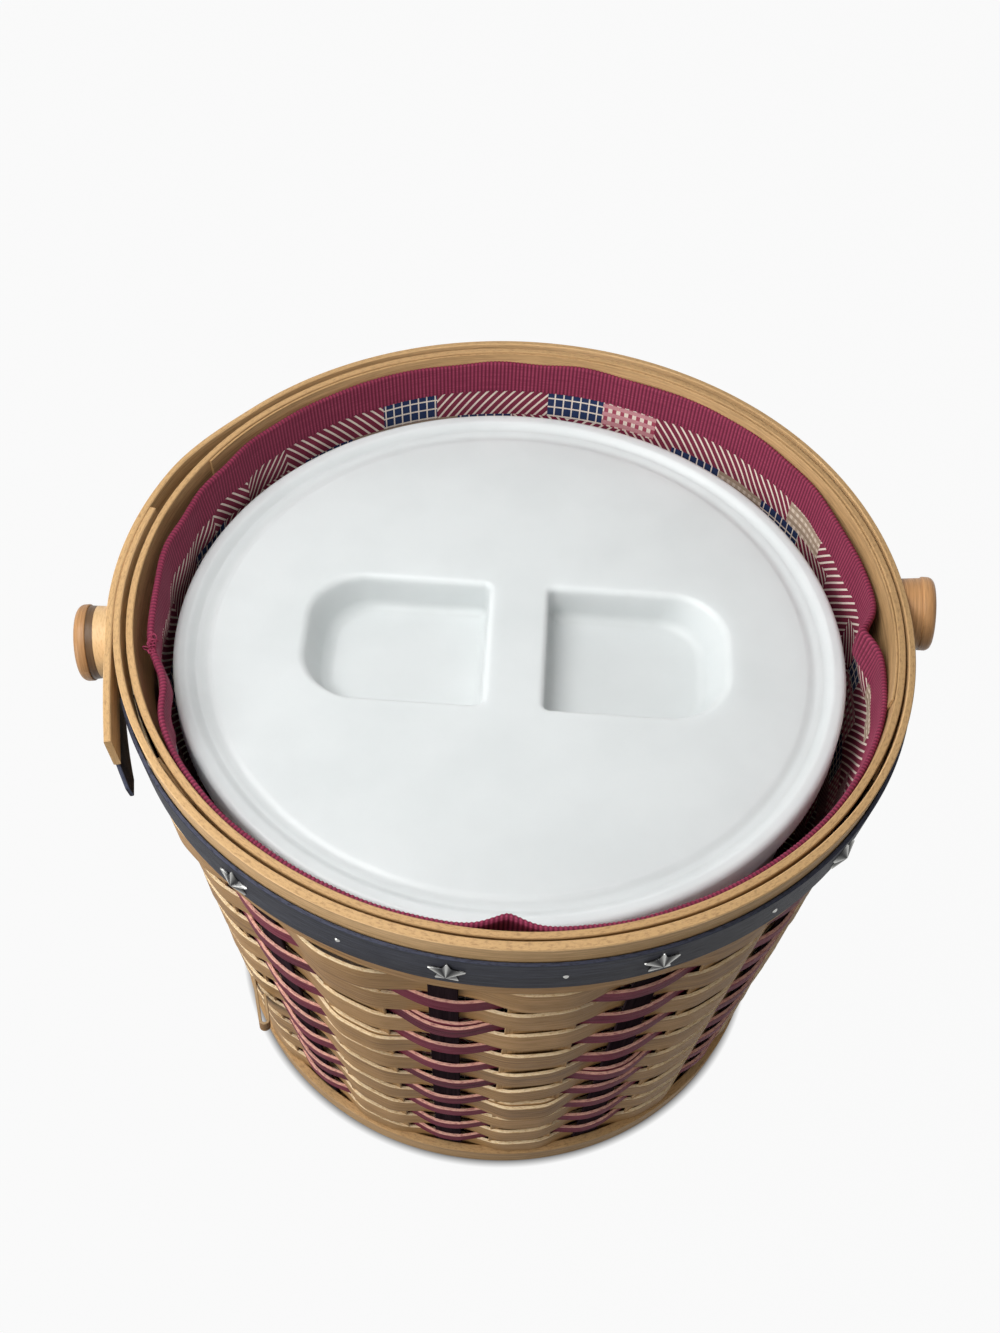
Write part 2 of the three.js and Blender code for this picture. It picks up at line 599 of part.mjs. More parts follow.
// Lid: a plate with a rounded lip, a groove inside it, a skirt, a plug ring and two finger pockets
const PLATE_TOP = LID_TOP - LID_PLATE_DROP;
const PLATE_BOTTOM = PLATE_TOP - LID_PLATE_THICKNESS;
const SKIRT_INSIDE = LID_RADIUS - LID_WALL;
const FLANGE_RADIUS = SKIRT_INSIDE - LID_PLAY;
const MOUTH_RADIUS = FLANGE_RADIUS - TUB_FLANGE_WIDTH;
const PLUG_RADIUS = MOUTH_RADIUS - LID_PLAY;

// The lip is a flattened arch, given at a few shares of its width from the outside in.
function lidShell() {
  const lipStart = LID_RADIUS - LID_LIP_WIDTH;
  const lipEnd = LID_WALL + LID_PLATE_DROP;
  const lip = LID_LIP_SHARES.map((share) => {
    const rise = Math.sin(Math.PI * share) ** LID_LIP_FLATNESS;
    const base = share < 0.5 ? PLATE_TOP : LID_TOP - lipEnd;
    return [lipStart + LID_LIP_WIDTH * share, base + (LID_TOP - base) * rise];
  });
  return turned([
    [0, PLATE_BOTTOM],
    [PLUG_RADIUS - LID_WALL, PLATE_BOTTOM],
    [PLUG_RADIUS - LID_WALL, PLATE_BOTTOM - LID_PLUG_HEIGHT],
    [PLUG_RADIUS, PLATE_BOTTOM - LID_PLUG_HEIGHT],
    [PLUG_RADIUS, PLATE_BOTTOM],
    [SKIRT_INSIDE, PLATE_BOTTOM],
    [SKIRT_INSIDE, LID_TOP - LID_SKIRT_HEIGHT],
    [LID_RADIUS, LID_TOP - LID_SKIRT_HEIGHT],
    [LID_RADIUS, LID_TOP - lipEnd],
    ...lip,
    [lipStart, PLATE_TOP],
    [lipStart - LID_GROOVE_SIDE, PLATE_TOP - LID_GROOVE_DEPTH],
    [lipStart - LID_GROOVE_WIDTH + LID_GROOVE_SIDE, PLATE_TOP - LID_GROOVE_DEPTH],
    [lipStart - LID_GROOVE_WIDTH, PLATE_TOP],
    [0, PLATE_TOP],
  ]);
}

// The outline of a pocket, drawn in by its draft at a depth and grown outwards by a wall.
function pocketLoop(side, z, depthShare, wall) {
  const near = GRIP_BAR_WIDTH / 2 + POCKET_DRAFT.bar * depthShare - wall;
  const far = GRIP_BAR_WIDTH / 2 + POCKET_LENGTH - POCKET_DRAFT.end * depthShare + wall;
  const half = POCKET_WIDTH / 2 - POCKET_DRAFT.side * depthShare + wall;
  const big = POCKET_CORNER_RADIUS + wall - POCKET_DRAFT.side * depthShare;
  const small = POCKET_BAR_CORNER_RADIUS + wall;
  const shape = new THREE.Shape();
  shape.absarc(near + small, half - small, small, Math.PI, Math.PI / 2, true);
  shape.absarc(far - big, half - big, big, Math.PI / 2, 0, true);
  shape.absarc(far - big, big - half, big, 0, -Math.PI / 2, true);
  shape.absarc(near + small, small - half, small, -Math.PI / 2, -Math.PI, true);
  return shape.getPoints(POCKET_CORNER_STEPS).map((p) => new THREE.Vector3(side * p.x, p.y, z));
}

function pocket(side, top, depth, wall) {
  const bottom = PLATE_TOP - depth;
  return skin([pocketLoop(side, top, 0, wall), pocketLoop(side, bottom, 1, wall)]);
}

function lid() {
  const bowlDepth = POCKET_DEPTH + POCKET_WALL;
  const bowls = [-1, 1].map((side) => pocket(side, PLATE_BOTTOM + FIT_GAP, bowlDepth, POCKET_WALL));
  const hollows = [-1, 1].map((side) => pocket(side, PLATE_TOP + FIT_GAP, POCKET_DEPTH, 0));
  return cut(join(lidShell(), bowls), hollows);
}

// Tub: it stands on the liner's floor, and its flange carries the lid
function tub() {
  const top = PLATE_BOTTOM - FIT_GAP;
  const flangeBottom = top - TUB_FLANGE_HEIGHT;
  const mouthBottom = top - LID_PLUG_HEIGHT;
  const baseRadius = clothFace(TUB_BOTTOM, CLOTH_THICKNESS)[0] - TUB_ROOM;
  return turned([
    [0, TUB_BOTTOM],
    [baseRadius, TUB_BOTTOM],
    [MOUTH_RADIUS + TUB_WALL, mouthBottom],
    [MOUTH_RADIUS + TUB_WALL, flangeBottom],
    [FLANGE_RADIUS, flangeBottom],
    [FLANGE_RADIUS, top],
    [MOUTH_RADIUS, top],
    [MOUTH_RADIUS, mouthBottom],
    [baseRadius - TUB_WALL, TUB_BOTTOM + TUB_WALL],
    [0, TUB_BOTTOM + TUB_WALL],
  ]);
}

addPiece(bucket, 'tub', tub(), 'plastic');
addPiece(bucket, 'lid', lid(), 'plastic').rotation.z = LID_TURN;

export default object;
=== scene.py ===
"""Finished look of the lidded ice bucket basket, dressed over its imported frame.

Sizes are millimetres and angles degrees, turned to metres and radians where a mesh is made. Azimuth runs
round the vertical axis from +X, the side of the right knob, and -Y is the front. A wall offset is measured
outwards from the outer face of the rim bands.
"""
from functools import partial

import bmesh
import bpy
import numpy as np
from mathutils import Matrix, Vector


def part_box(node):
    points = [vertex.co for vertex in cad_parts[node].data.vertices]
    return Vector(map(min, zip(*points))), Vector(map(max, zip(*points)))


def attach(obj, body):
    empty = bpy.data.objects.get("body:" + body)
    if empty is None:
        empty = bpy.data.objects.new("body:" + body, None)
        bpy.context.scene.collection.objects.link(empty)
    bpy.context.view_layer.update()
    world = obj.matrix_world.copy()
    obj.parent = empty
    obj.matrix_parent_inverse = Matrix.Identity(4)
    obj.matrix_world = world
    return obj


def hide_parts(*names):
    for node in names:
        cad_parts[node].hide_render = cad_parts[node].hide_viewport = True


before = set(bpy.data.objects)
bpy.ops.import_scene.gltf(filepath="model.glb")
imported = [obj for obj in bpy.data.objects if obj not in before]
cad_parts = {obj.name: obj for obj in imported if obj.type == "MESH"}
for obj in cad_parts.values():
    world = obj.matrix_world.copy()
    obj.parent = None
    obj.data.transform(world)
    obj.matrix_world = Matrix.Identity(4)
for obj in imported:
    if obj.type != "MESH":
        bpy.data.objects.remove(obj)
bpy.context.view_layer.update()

MM = 0.001
TURN = 2 * np.pi
rng = np.random.default_rng(31)


def span(node):
    """Lowest and highest corner of a CAD node, in millimetres."""
    low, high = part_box(node)
    return np.array(low) / MM, np.array(high) / MM


def levels(node):
    """Lowest and highest level of a CAD node, in millimetres."""
    low, high = span(node)
    return low[2], high[2]


# Wall and stock sizes, as in the part's source
RIM_RADIUS = 146.0
BASE_RADIUS = 111.3
HEIGHT = span("inner_rim_band")[1][2]
WALL_SLOPE = (RIM_RADIUS - BASE_RADIUS) / HEIGHT
WALL_TILT = np.arctan(WALL_SLOPE)
UPRIGHT_STEP = np.radians(15)
UPRIGHT_MIDDLE = -4.02
NATURAL_HALF_WIDTH = 12.5
NAVY_HALF_WIDTH = 5.25
UPRIGHT_THICKNESS = 1.0
# How far the uprights' cut edges take the paler edge colour, which is partly painted highlight
UPRIGHT_WEAR = 0.15
BAND_THICKNESS = 2.55
TRIM_THICKNESS = 1.5
TRIM_OFFSET = 0.3
LAP_OFFSET = 2.6
LINER_OFFSET = -7.62
LID_RADIUS = span("lid")[1][0]
LID_TURN = np.radians(-7.5)


def run_length(points):
    """The length along a line of points, up to each of them."""
    return np.concatenate([[0], np.cumsum(np.linalg.norm(np.diff(points, axis=0), axis=1))])


def table(*columns):
    """Arrays brought to one shape and stacked along a new last axis."""
    return np.stack(np.broadcast_arrays(*columns), -1)


def polar(azimuth, radius, z):
    """Points about the vertical axis."""
    return table(radius * np.cos(azimuth), radius * np.sin(azimuth), z)


def wall_radius(z):
    """Radius that wall offsets start from at a height: base radius + slope * z."""
    return BASE_RADIUS + WALL_SLOPE * z


def smoothstep(x, start, end):
    """From 0 at start to 1 at end and level beyond both: 3 t**2 - 2 t**3 of the share t between them."""
    t = np.clip((x - start) / (end - start), 0, 1)
    return t * t * (3 - 2 * t)


def new_ripple(size, fewest=3, most=17):
    """A smooth irregular wave round the wall, as a function of azimuth: seeded cosines of whole wave counts,
    whose sum has that mean square size."""
    counts = np.arange(fewest, most)
    phase = rng.uniform(0, TURN, len(counts))
    share = rng.normal(0, 1, len(counts))
    share *= size * np.sqrt(2 / (share**2).sum())
    return lambda azimuth: (share * np.cos(np.outer(azimuth, counts) + phase)).sum(1)


def bell(azimuth, middle, spread, sharpness=2.0):
    """1 at a middle in degrees, falling to both sides as exp(-(away / spread) ** sharpness)."""
    away = np.abs((np.degrees(azimuth) - middle + 180) % 360 - 180)
    return np.exp(-((away / spread) ** sharpness))


RIM_SQUEEZE, SQUEEZE_SPREAD = 1.2, 30
WALL_FLAT, FLAT_SPREAD = 1.4, 38


def rim_squeeze(azimuth):
    """How far the right knob draws the outer band and the trim in towards the wall."""
    return RIM_SQUEEZE * bell(azimuth, 0, SQUEEZE_SPREAD)


def settled(points):
    """Points of the basket, drawn in at the right, where the wall is a little out of round: by a bell of the
    azimuth times the square of the height's share."""
    azimuth = np.arctan2(points[:, 1], points[:, 0])
    shift = WALL_FLAT * bell(azimuth, 0, FLAT_SPREAD) * np.clip(points[:, 2] / HEIGHT, 0, 1) ** 2
    return points - polar(azimuth, shift, 0)


# Meshes


def grid_part(points, places=None, wear_and_painted_light=0.0, ring=True, caps=(0, -1)):
    """A tube on a grid of points (rows, columns, 3): its columns close into a ring, its rows too where ring
    is set, and else a cap closes each row that caps names. places is where each corner lies on the flat
    stock, a row and column longer than a grid that closes, and the third argument how far a point is worn or
    cut to paler stock, which some finishes also read as painted highlight and painted shade."""
    rows, columns = points.shape[:2]
    places = np.zeros((rows + 1, columns + 1, 2)) if places is None else places
    i, j = np.meshgrid(np.arange(rows if ring else rows - 1), np.arange(columns), indexing="ij")
    i, j = i.ravel(), j.ravel()
    steps = ((0, 0), (1, 0), (1, 1), (0, 1))
    faces = [np.stack([(i + a) % rows * columns + (j + b) % columns for a, b in steps], 1)]
    uv = [np.stack([places[i + a, j + b] for a, b in steps], 1)]
    for end in () if ring else caps:
        row, step = end % rows, -1 if end else 1
        faces.append((row * columns + np.arange(columns))[None, ::step])
        uv.append(places[row, :-1][None, ::step])
    worn = np.broadcast_to(wear_and_painted_light, (rows, columns))
    return {"points": points.reshape(-1, 3), "faces": faces, "uv": uv, "wear_and_painted_light": worn.ravel()}


def outward(part):
    """The part, its faces turned round where the signed volume inside, by fans of triangles, is negative."""
    p = part["points"]
    volume = sum((p[f[:, 0]] * np.cross(p[f[:, k]], p[f[:, k + 1]])).sum()
                 for f in part["faces"] for k in range(1, f.shape[1] - 1))
    if volume < 0:
        part["faces"] = [f[:, ::-1] for f in part["faces"]]
        part["uv"] = [u[:, ::-1] for u in part["uv"]]
    return part


def new_object(name, data):
    """An object in the scene, for a mesh, lamp or camera."""
    thing = bpy.data.objects.new(name, data)
    bpy.context.scene.collection.objects.link(thing)
    return thing


def add_piece(name, parts, finish, nodes, body="basket", crisp=38, weld=False):
    """One object from closed parts, which rides on a body, stands for CAD nodes and has one finish."""
    parts = [outward(p) for p in parts]
    counts = [len(p["points"]) for p in parts]
    faces = [f + s for p, s in zip(parts, np.cumsum([0] + counts[:-1])) for f in p["faces"]]
    sizes = np.concatenate([np.full(len(f), f.shape[1]) for f in faces])
    corners = np.concatenate([f.ravel() for f in faces])
    mesh = bpy.data.meshes.new(name)
    mesh.vertices.add(sum(counts))
    points = np.concatenate([p["points"] for p in parts])
    points = settled(points) if body == "basket" else points
    mesh.vertices.foreach_set("co", points.ravel() * MM)
    mesh.loops.add(len(corners))
    mesh.loops.foreach_set("vertex_index", corners.astype(np.int32))
    mesh.polygons.add(len(sizes))
    mesh.polygons.foreach_set("loop_start", (np.cumsum(sizes) - sizes).astype(np.int32))
    mesh.polygons.foreach_set("use_smooth", np.ones(len(sizes), bool))
    flat = np.concatenate([u.reshape(-1, 2) for p in parts for u in p["uv"]])
    mesh.uv_layers.new(name="stock").uv.foreach_set("vector", flat.astype(np.float32).ravel())
    wear_and_painted_light = mesh.attributes.new("wear_and_painted_light", "FLOAT", "POINT")
    wear_and_painted_light.data.foreach_set("value", np.concatenate([p["wear_and_painted_light"] for p in parts]).astype(np.float32))
    mesh.update(calc_edges=True)
    if weld:
        work = bmesh.new()
        work.from_mesh(mesh)
        bmesh.ops.remove_doubles(work, verts=work.verts, dist=1e-6)
        bmesh.ops.recalc_face_normals(work, faces=work.faces)
        work.to_mesh(mesh)
        work.free()
    mesh.set_sharp_from_angle(angle=np.radians(crisp))
    mesh.materials.append(finish)
    piece = new_object(name, mesh)
    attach(piece, body)
    if nodes:
        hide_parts(*nodes)
    return piece


# Section of a cut strip, run round it: shares of the half thickness and of the round-off across the strip,
# shares of the half height and of the round-off up it, and 1 where the point lies on a cut edge, which
# the finishes colour paler, partly as painted highlight.
SECTION = np.array([
    [1, 0, -1, 1, 0], [1, 0, -1, 3, 0], [1, 0, 0, 0, 0], [1, 0, 1, -3, 0], [1, 0, 1, -1, 0],
    [1, -1, 1, 0, 1], [-1, 1, 1, 0, 1],
    [-1, 0, 1, -1, 0], [-1, 0, 1, -3, 0], [-1, 0, 0, 0, 0], [-1, 0, -1, 3, 0], [-1, 0, -1, 1, 0],
    [-1, 1, -1, 0, 1], [1, -1, -1, 0, 1],
], float)
# Size of the stock that every strip is cut from, at a place of its own
STOCK_SIZE = 900


def strip_part(path, out, up, thick, high, ring, round_off=0.25, bare_and_painted_light=1.0):
    """A strip carried along a path: point = path + out * across + up * along its height, with the section
    above. A corner's place on the stock is the length along the path and the length round the section, and
    the last argument is how strongly the cut edges are marked paler, which is partly painted highlight."""
    half = np.broadcast_to(np.asarray(high, float) / 2, len(path))[:, None]
    r = np.minimum(round_off, half / 4)
    across = SECTION[:, 0] * thick / 2 + SECTION[:, 1] * r
    along = SECTION[:, 2] * half + SECTION[:, 3] * r
    points = path[:, None] + out[:, None] * across[..., None] + up[:, None] * along[..., None]
    length = run_length(np.concatenate([path, path[:1]]) if ring else path)
    girth = run_length(np.concatenate([points[0], points[0, :1]]))
    start = rng.uniform(0, STOCK_SIZE, 2)
    places = table(length[:, None] + start[0], girth + start[1])
    return grid_part(points, places, SECTION[:, 4] * bare_and_painted_light, ring)


def wall_frame(azimuth, z, offset, tilt, sideways=0.0):
    """Path, outward and upward directions of a strip on the wall, from its azimuth, middle height, wall
    offset, lean from the vertical and shift along the tangent."""
    c, s, z, offset, tilt, sideways = np.broadcast_arrays(
        np.cos(azimuth), np.sin(azimuth), z, offset, tilt, sideways)
    r = wall_radius(z) + offset
    path = table(r * c - sideways * s, r * s + sideways * c, z)
    out = table(c * np.cos(tilt), s * np.cos(tilt), -np.sin(tilt))
    up = table(c * np.sin(tilt), s * np.sin(tilt), np.cos(tilt))
    return path, out, up


def wall_strip(azimuth, low, high, offset, thick, ring, round_off, sideways=0.0, tilt=WALL_TILT):
    """A strip on the wall between two levels, its middle at a wall offset."""
    path, out, up = wall_frame(azimuth, (low + high) / 2, offset, tilt, sideways)
    return strip_part(path, out, up, thick, (high - low) / np.cos(WALL_TILT), ring, round_off)


def turned_part(profile, sides, start=0.0, wear_and_painted_light=0.0, caps=(0, -1)):
    """A round part about the vertical axis: profile rows of radius and height, carried round it. A corner's
    place is the arc length at the profile's mean radius and the length along the profile."""
    profile = np.asarray(profile, float)
    azimuth = start + np.arange(sides + 1) * TURN / sides
    ring = polar(azimuth[:-1], profile[:, :1], profile[:, 1:])
    places = table(azimuth * profile[:, 0].mean(), run_length(profile)[:, None])
    return grid_part(ring, places, wear_and_painted_light, False, caps)


def placed(part, across, up, outward_axis, foot):
    """The part moved from its own axes to three directions and a foot point."""
    part["points"] = part["points"] @ np.stack([across, up, outward_axis]) + foot
    return part


def arc(centre, radius, start, end, steps):
    """Points of an arc from one angle to another, in degrees, as rows of two coordinates."""
    a = np.radians(np.linspace(start, end, steps))
    return table(centre[0] + radius * np.cos(a), centre[1] + radius * np.sin(a))


# Materials


def linear(hex_colour):
    """sRGB hex text to a linear colour."""
    value = np.array([int(hex_colour[i:i + 2], 16) for i in (1, 3, 5)]) / 255
    value = np.where(value <= 0.04045, value / 12.92, ((value + 0.055) / 1.055) ** 2.4)
    return (*value, 1.0)


def set_inputs(node, inputs):
    """Sets inputs of a node, by name or in order, each to a value or to a link from another node's output."""
    for key, value in inputs.items() if isinstance(inputs, dict) else enumerate(inputs):
        if isinstance(value, bpy.types.NodeSocket):
            node.id_data.links.new(value, node.inputs[key])
        else:
            node.inputs[key].default_value = value


def add_node(tree, kind, inputs=(), output=0, stops=(), **settings):
    """Adds a node with its settings, its inputs and the hex colours of a ramp. Returns one of its outputs."""
    node = tree.nodes.new("ShaderNode" + kind)
    for key, value in settings.items():
        setattr(node, key, value)
    set_inputs(node, inputs)
    for i, (place, colour) in enumerate(stops):
        elements = node.color_ramp.elements
        stop = elements[i] if i < len(elements) else elements.new(place)
        stop.position, stop.color = place, linear(colour)
    return node.outputs[output]


def new_finish(name):
    """A material, the function that adds nodes to it, and its Principled shader."""
    finish = bpy.data.materials.new(name)
    finish.use_nodes = True
    return finish, partial(add_node, finish.node_tree), finish.node_tree.nodes["Principled BSDF"]


def splint_finish(name, dark, middle, light, edge, edge_dark, roughness, worn=0.85, gloss=0.2):
    """Sliced maple splint, stained or oiled: straight fibres along the strip about 1 mm apart, fine pores,
    slow drifts of tone, and cut edges that took less stain and show paler, broken fibres; on the natural and
    burgundy splint the edges' paleness is partly painted highlight. A mark below 0 darkens the colour, to a
    fifth at -1: painted shade, on the ring at the back of a knob's head."""
    finish, node, shader = new_finish(name)
    stock = node("UVMap", uv_map="stock")
    paleness_and_painted_shade = node("Attribute", output="Fac", attribute_name="wear_and_painted_light")
    # Cells of each noise along and across the strip, its detail and its roughness
    cells = ((85, 1.3, 5, 0.62), (9, 0.42, 3, 0.6), (140, 26, 2, 0.5), (2.2, 0.7, 4, 0.7))
    noises = []
    for along, across, detail, harsh in cells:
        at = node("Mapping", {0: stock, "Scale": (1 / along, 1 / across, 1)})
        noises.append(node("TexNoise", {"Vector": at, "Scale": 1, "Detail": detail, "Roughness": harsh}))
    streak, pore, drift, saw = noises
    tone = node("Math", [streak, drift], operation="ADD")
    tone = node("Math", [tone, 0.5], operation="MULTIPLY")
    ramp = node("ValToRGB", [tone], stops=[(0.36, dark), (0.5, middle), (0.63, light)])
    pores = node("MapRange", [pore, 0.34, 0.56, 0.74, 1.0])
    # Painted shade: a mark below 0 darkens the face, to a fifth at -1, on the ring behind a knob's head.
    painted_shade = node("MapRange", [paleness_and_painted_shade, -1.0, 0.0, 0.2, 1.0])
    shade = node("Math", [pores, painted_shade], operation="MULTIPLY")
    face = node("Mix", {0: 1.0, 6: ramp, 7: shade}, 2, data_type="RGBA", blend_type="MULTIPLY")
    # Edge colours, paler than the face: the cut wood's own tone, and partly painted highlight on the natural
    # and burgundy splint.
    bare_and_painted_light = node("ValToRGB", [saw], stops=[(0.33, edge_dark), (0.52, edge)])
    amount = node("Math", [paleness_and_painted_shade, worn], operation="MULTIPLY")
    colour = node("Mix", {0: amount, 6: face, 7: bare_and_painted_light}, 2, data_type="RGBA")
    rough = node("MapRange", [pore, 0.3, 0.7, roughness + 0.14, roughness - 0.06])
    height = node("Mix", {0: paleness_and_painted_shade, 2: pore, 3: saw}, data_type="FLOAT")
    bump = node("Bump", {"Strength": 0.35, "Distance": 0.0003, "Height": height})
    set_inputs(shader, {"Base Color": colour, "Roughness": rough, "Normal": bump,
                        "Specular IOR Level": gloss})
    return finish


def board_finish(name, dark, light):
    """Planed maple board, seen only from below: soft straight grain along X, about 3 mm wide."""
    finish, node, shader = new_finish(name)
    place = node("TexCoord", output="Object")
    at = node("Mapping", {0: place, "Scale": (1 / 0.08, 1 / 0.003, 1 / 0.003)})
    grain = node("TexNoise", {"Vector": at, "Scale": 1, "Detail": 5, "Roughness": 0.6})
    ramp = node("ValToRGB", [grain], stops=[(0.35, dark), (0.65, light)])
    set_inputs(shader, {"Base Color": ramp, "Roughness": 0.6})
    return finish


def moulded_finish(name, base, shade, roughness):
    """Moulded polyethylene: even satin white that lets light some 8 mm in, faint flow clouds some 40 mm wide,
    and a fine grain of about 0.7 mm that softens the gloss."""
    finish, node, shader = new_finish(name)
    place = node("TexCoord", output="Object")
    cloud = node("TexNoise", {"Vector": place, "Scale": 1 / 0.04, "Detail": 3})
    ramp = node("ValToRGB", [cloud], stops=[(0.35, shade), (0.6, base)])
    grain = node("TexNoise", {"Vector": place, "Scale": 1 / 0.0007, "Detail": 2})
    bump = node("Bump", {"Strength": 0.06, "Distance": 0.0002, "Height": grain})
    rough = node("MapRange", [cloud, 0.3, 0.7, roughness + 0.07, roughness])
    set_inputs(shader, {"Base Color": ramp, "Roughness": rough, "Normal": bump, "IOR": 1.51,
                        "Subsurface Weight": 0.8, "Subsurface Radius": (1, 1, 1), "Subsurface Scale": 0.008})
    return finish


def stud_finish():
    """Cast pewter studs, polished and then darkened: dark in the hollows, bright on the worn ridges, with a
    fine grain of about 1 mm in the gloss."""
    finish, node, shader = new_finish("cast pewter")
    place = node("TexCoord", output="Object")
    worn = node("Attribute", output="Fac", attribute_name="wear_and_painted_light")
    grain = node("TexNoise", {"Vector": place, "Scale": 1 / 0.001, "Detail": 2})
    ramp = node("ValToRGB", [worn], stops=[(0.05, "#2b2b2d"), (0.5, "#6a6a69"), (0.95, "#b4b4b1")])
    rough = node("MapRange", [grain, 0.3, 0.7, 0.3, 0.16])
    set_inputs(shader, {"Base Color": ramp, "Roughness": rough, "Metallic": 1.0})
    return finish


def ribbon_finish():
    """Grosgrain ribbon: ribs across it, with painted highlight on their crowns and painted shade between, in
    burgundy thread with fine lengthways threads of about 0.5 mm."""
    finish, node, shader = new_finish("grosgrain ribbon")
    stock = node("UVMap", uv_map="stock")
    crown = node("Attribute", output="Fac", attribute_name="wear_and_painted_light")
    at = node("Mapping", {0: stock, "Scale": (1 / 14, 1 / 0.5, 1)})
    thread = node("TexNoise", {"Vector": at, "Scale": 1, "Detail": 3})
    shade = node("MapRange", [thread, 0.3, 0.7, 0.55, 1.0])
    # Painted highlight and painted shade: the rib crowns take the lighter tones of the ramp, the stations
    # between them its darkest.
    tone = node("Math", [crown, shade], operation="MULTIPLY")
    ramp = node("ValToRGB", [tone], stops=[(0.0, "#4c172a"), (0.5, "#7f2a44"), (0.95, "#9d435c")])
    set_inputs(shader, {"Base Color": ramp, "Roughness": 0.75, "Specular IOR Level": 0.2})
    return finish


def patchwork_finish():
    """Printed cotton patchwork: patches about 24 by 15 mm of burgundy bias ticking, navy windowpane, tan
    check and cream gingham, over a plain weave of about 0.5 mm."""
    finish, node, shader = new_finish("patchwork cotton")
    stock = node("UVMap", uv_map="stock")
    x, y = [node("SeparateXYZ", [stock], axis) for axis in "XY"]
    slant = node("Math", [x, y], operation="ADD")
    lean = node("Math", [x, y], operation="SUBTRACT")
    pick = node("TexBrick", {
        "Vector": stock, "Color1": (0, 0, 0, 1), "Color2": (1, 1, 1, 1), "Mortar": (0.5, 0.5, 0.5, 1),
        "Scale": 1.0, "Mortar Size": 0.0, "Brick Width": 24.0, "Row Height": 15.0}, "Color", offset=0.37)

    def stripes(along, pitch, share, ground, line):
        """Lines of one colour on another, a pitch apart and a share of it wide."""
        turns = node("Math", [along, 1 / pitch], operation="MULTIPLY")
        part = node("Math", [turns], operation="FRACT")
        over = node("Math", [part, share], operation="LESS_THAN")
        return node("Mix", {0: over, 6: ground, 7: line}, 2, data_type="RGBA")

    burgundy, cream = linear("#7c2c42"), linear("#e9dccf")
    navy, tan, sand = linear("#26355a"), linear("#b9a592"), linear("#d8c8b6")
    bias = stripes(slant, 3.8, 0.3, burgundy, cream)
    counter = stripes(lean, 3.8, 0.3, burgundy, cream)
    pane = stripes(y, 3.7, 0.16, stripes(x, 3.7, 0.16, navy, cream), cream)
    check = stripes(y, 3.0, 0.5, stripes(x, 3.0, 0.5, tan, sand), linear("#a08b78"))
    gingham = stripes(y, 3.6, 0.5, stripes(x, 3.6, 0.5, cream, linear("#a4485c")), linear("#c98f94"))
    colour = bias
    for above, cloth in ((0.3, pane), (0.5, check), (0.58, counter), (0.84, gingham)):
        past = node("Math", [pick, above], operation="GREATER_THAN")
        colour = node("Mix", {0: past, 6: colour, 7: cloth}, 2, data_type="RGBA")
    weave = node("TexNoise", {"Vector": stock, "Scale": 1 / 0.5, "Detail": 2})
    fade = node("MapRange", [weave, 0.3, 0.7, 0.78, 1.0])
    colour = node("Mix", {0: 1.0, 6: colour, 7: fade}, 2, data_type="RGBA", blend_type="MULTIPLY")
    bump = node("Bump", {"Strength": 0.25, "Distance": 0.0003, "Height": weave})
    set_inputs(shader, {"Base Color": colour, "Normal": bump, "Roughness": 0.88, "Specular IOR Level": 0.2})
    return finish


# The natural splint's edge colours, near white at a full share, are partly the cut wood's paleness and partly
# painted highlight.
NATURAL = splint_finish("oiled maple splint", "#7a5b3d", "#a07b4e", "#b68e60", "#fbe4bc", "#d6b27c",
                        0.55, 1.0)
RIM_WOOD = splint_finish("oiled maple band", "#93734c", "#b49064", "#c7a173", "#bf9a6b", "#95734e",
                         0.52)
# The outer band takes the band's maple painted lighter: painted light on the outer band's face.
LIT_OUTER_WOOD = splint_finish("oiled maple outer band, painted lighter", "#ab875c", "#cea97a", "#e2bd8d", "#bc9869", "#92704b",
                           0.52)
# The burgundy splint's pale pink edge colours are partly the cut wood's paleness and partly painted
# highlight.
BURGUNDY = splint_finish("burgundy stained splint", "#4c1827", "#6a2738", "#803747", "#f4beaa", "#b06a6e",
                         0.52, 0.95, 0.06)
NAVY = splint_finish("navy stained trim", "#1f1f25", "#2b2c33", "#383a44", "#4c5062", "#292b33", 0.52, 0.8,
                     0.1)
# The staves take a darker, browner copy of the navy stain; its darkness is painted shade, as the staves show
# only in the weave's shadowed gaps.
SHADED_STAVE = splint_finish("navy stained stave, painted shade", "#1f171a", "#2c2125", "#392b30", "#4c3e44", "#2b2327", 0.55, 0.8,
                      0.0)
KNOB_WOOD = splint_finish("varnished maple", "#9a6c42", "#bb8a59", "#d09f6d", "#d2af80", "#bd9766",
                          0.36, 0.95, 0.3)
BOARD = board_finish("planed maple board", "#9c7b4d", "#b9965f")
LID_PLASTIC = moulded_finish("moulded polyethylene lid", "#dbe0e0", "#d6dbdb", 0.36)
TUB_PLASTIC = moulded_finish("moulded polyethylene tub", "#dbe0e0", "#d5dada", 0.4)
STUD = stud_finish()
RIBBON = ribbon_finish()
PATCHWORK = patchwork_finish()

# Uprights


def rounded_path(corners, reach):
    """A path through corners, each inner corner bent on a quadratic curve that starts a reach before it."""
    corners = np.asarray(corners, float)
    t = np.linspace(0, 1, 9)[:, None]
    pieces = [corners[:1]]
    for before, corner, after in zip(corners, corners[1:], corners[2:]):
        start = corner + (before - corner) / np.linalg.norm(before - corner) * reach
        end = corner + (after - corner) / np.linalg.norm(after - corner) * reach
        pieces.append((1 - t) ** 2 * start + 2 * t * (1 - t) * corner + t**2 * end)
    return np.concatenate([*pieces, corners[-1:]])


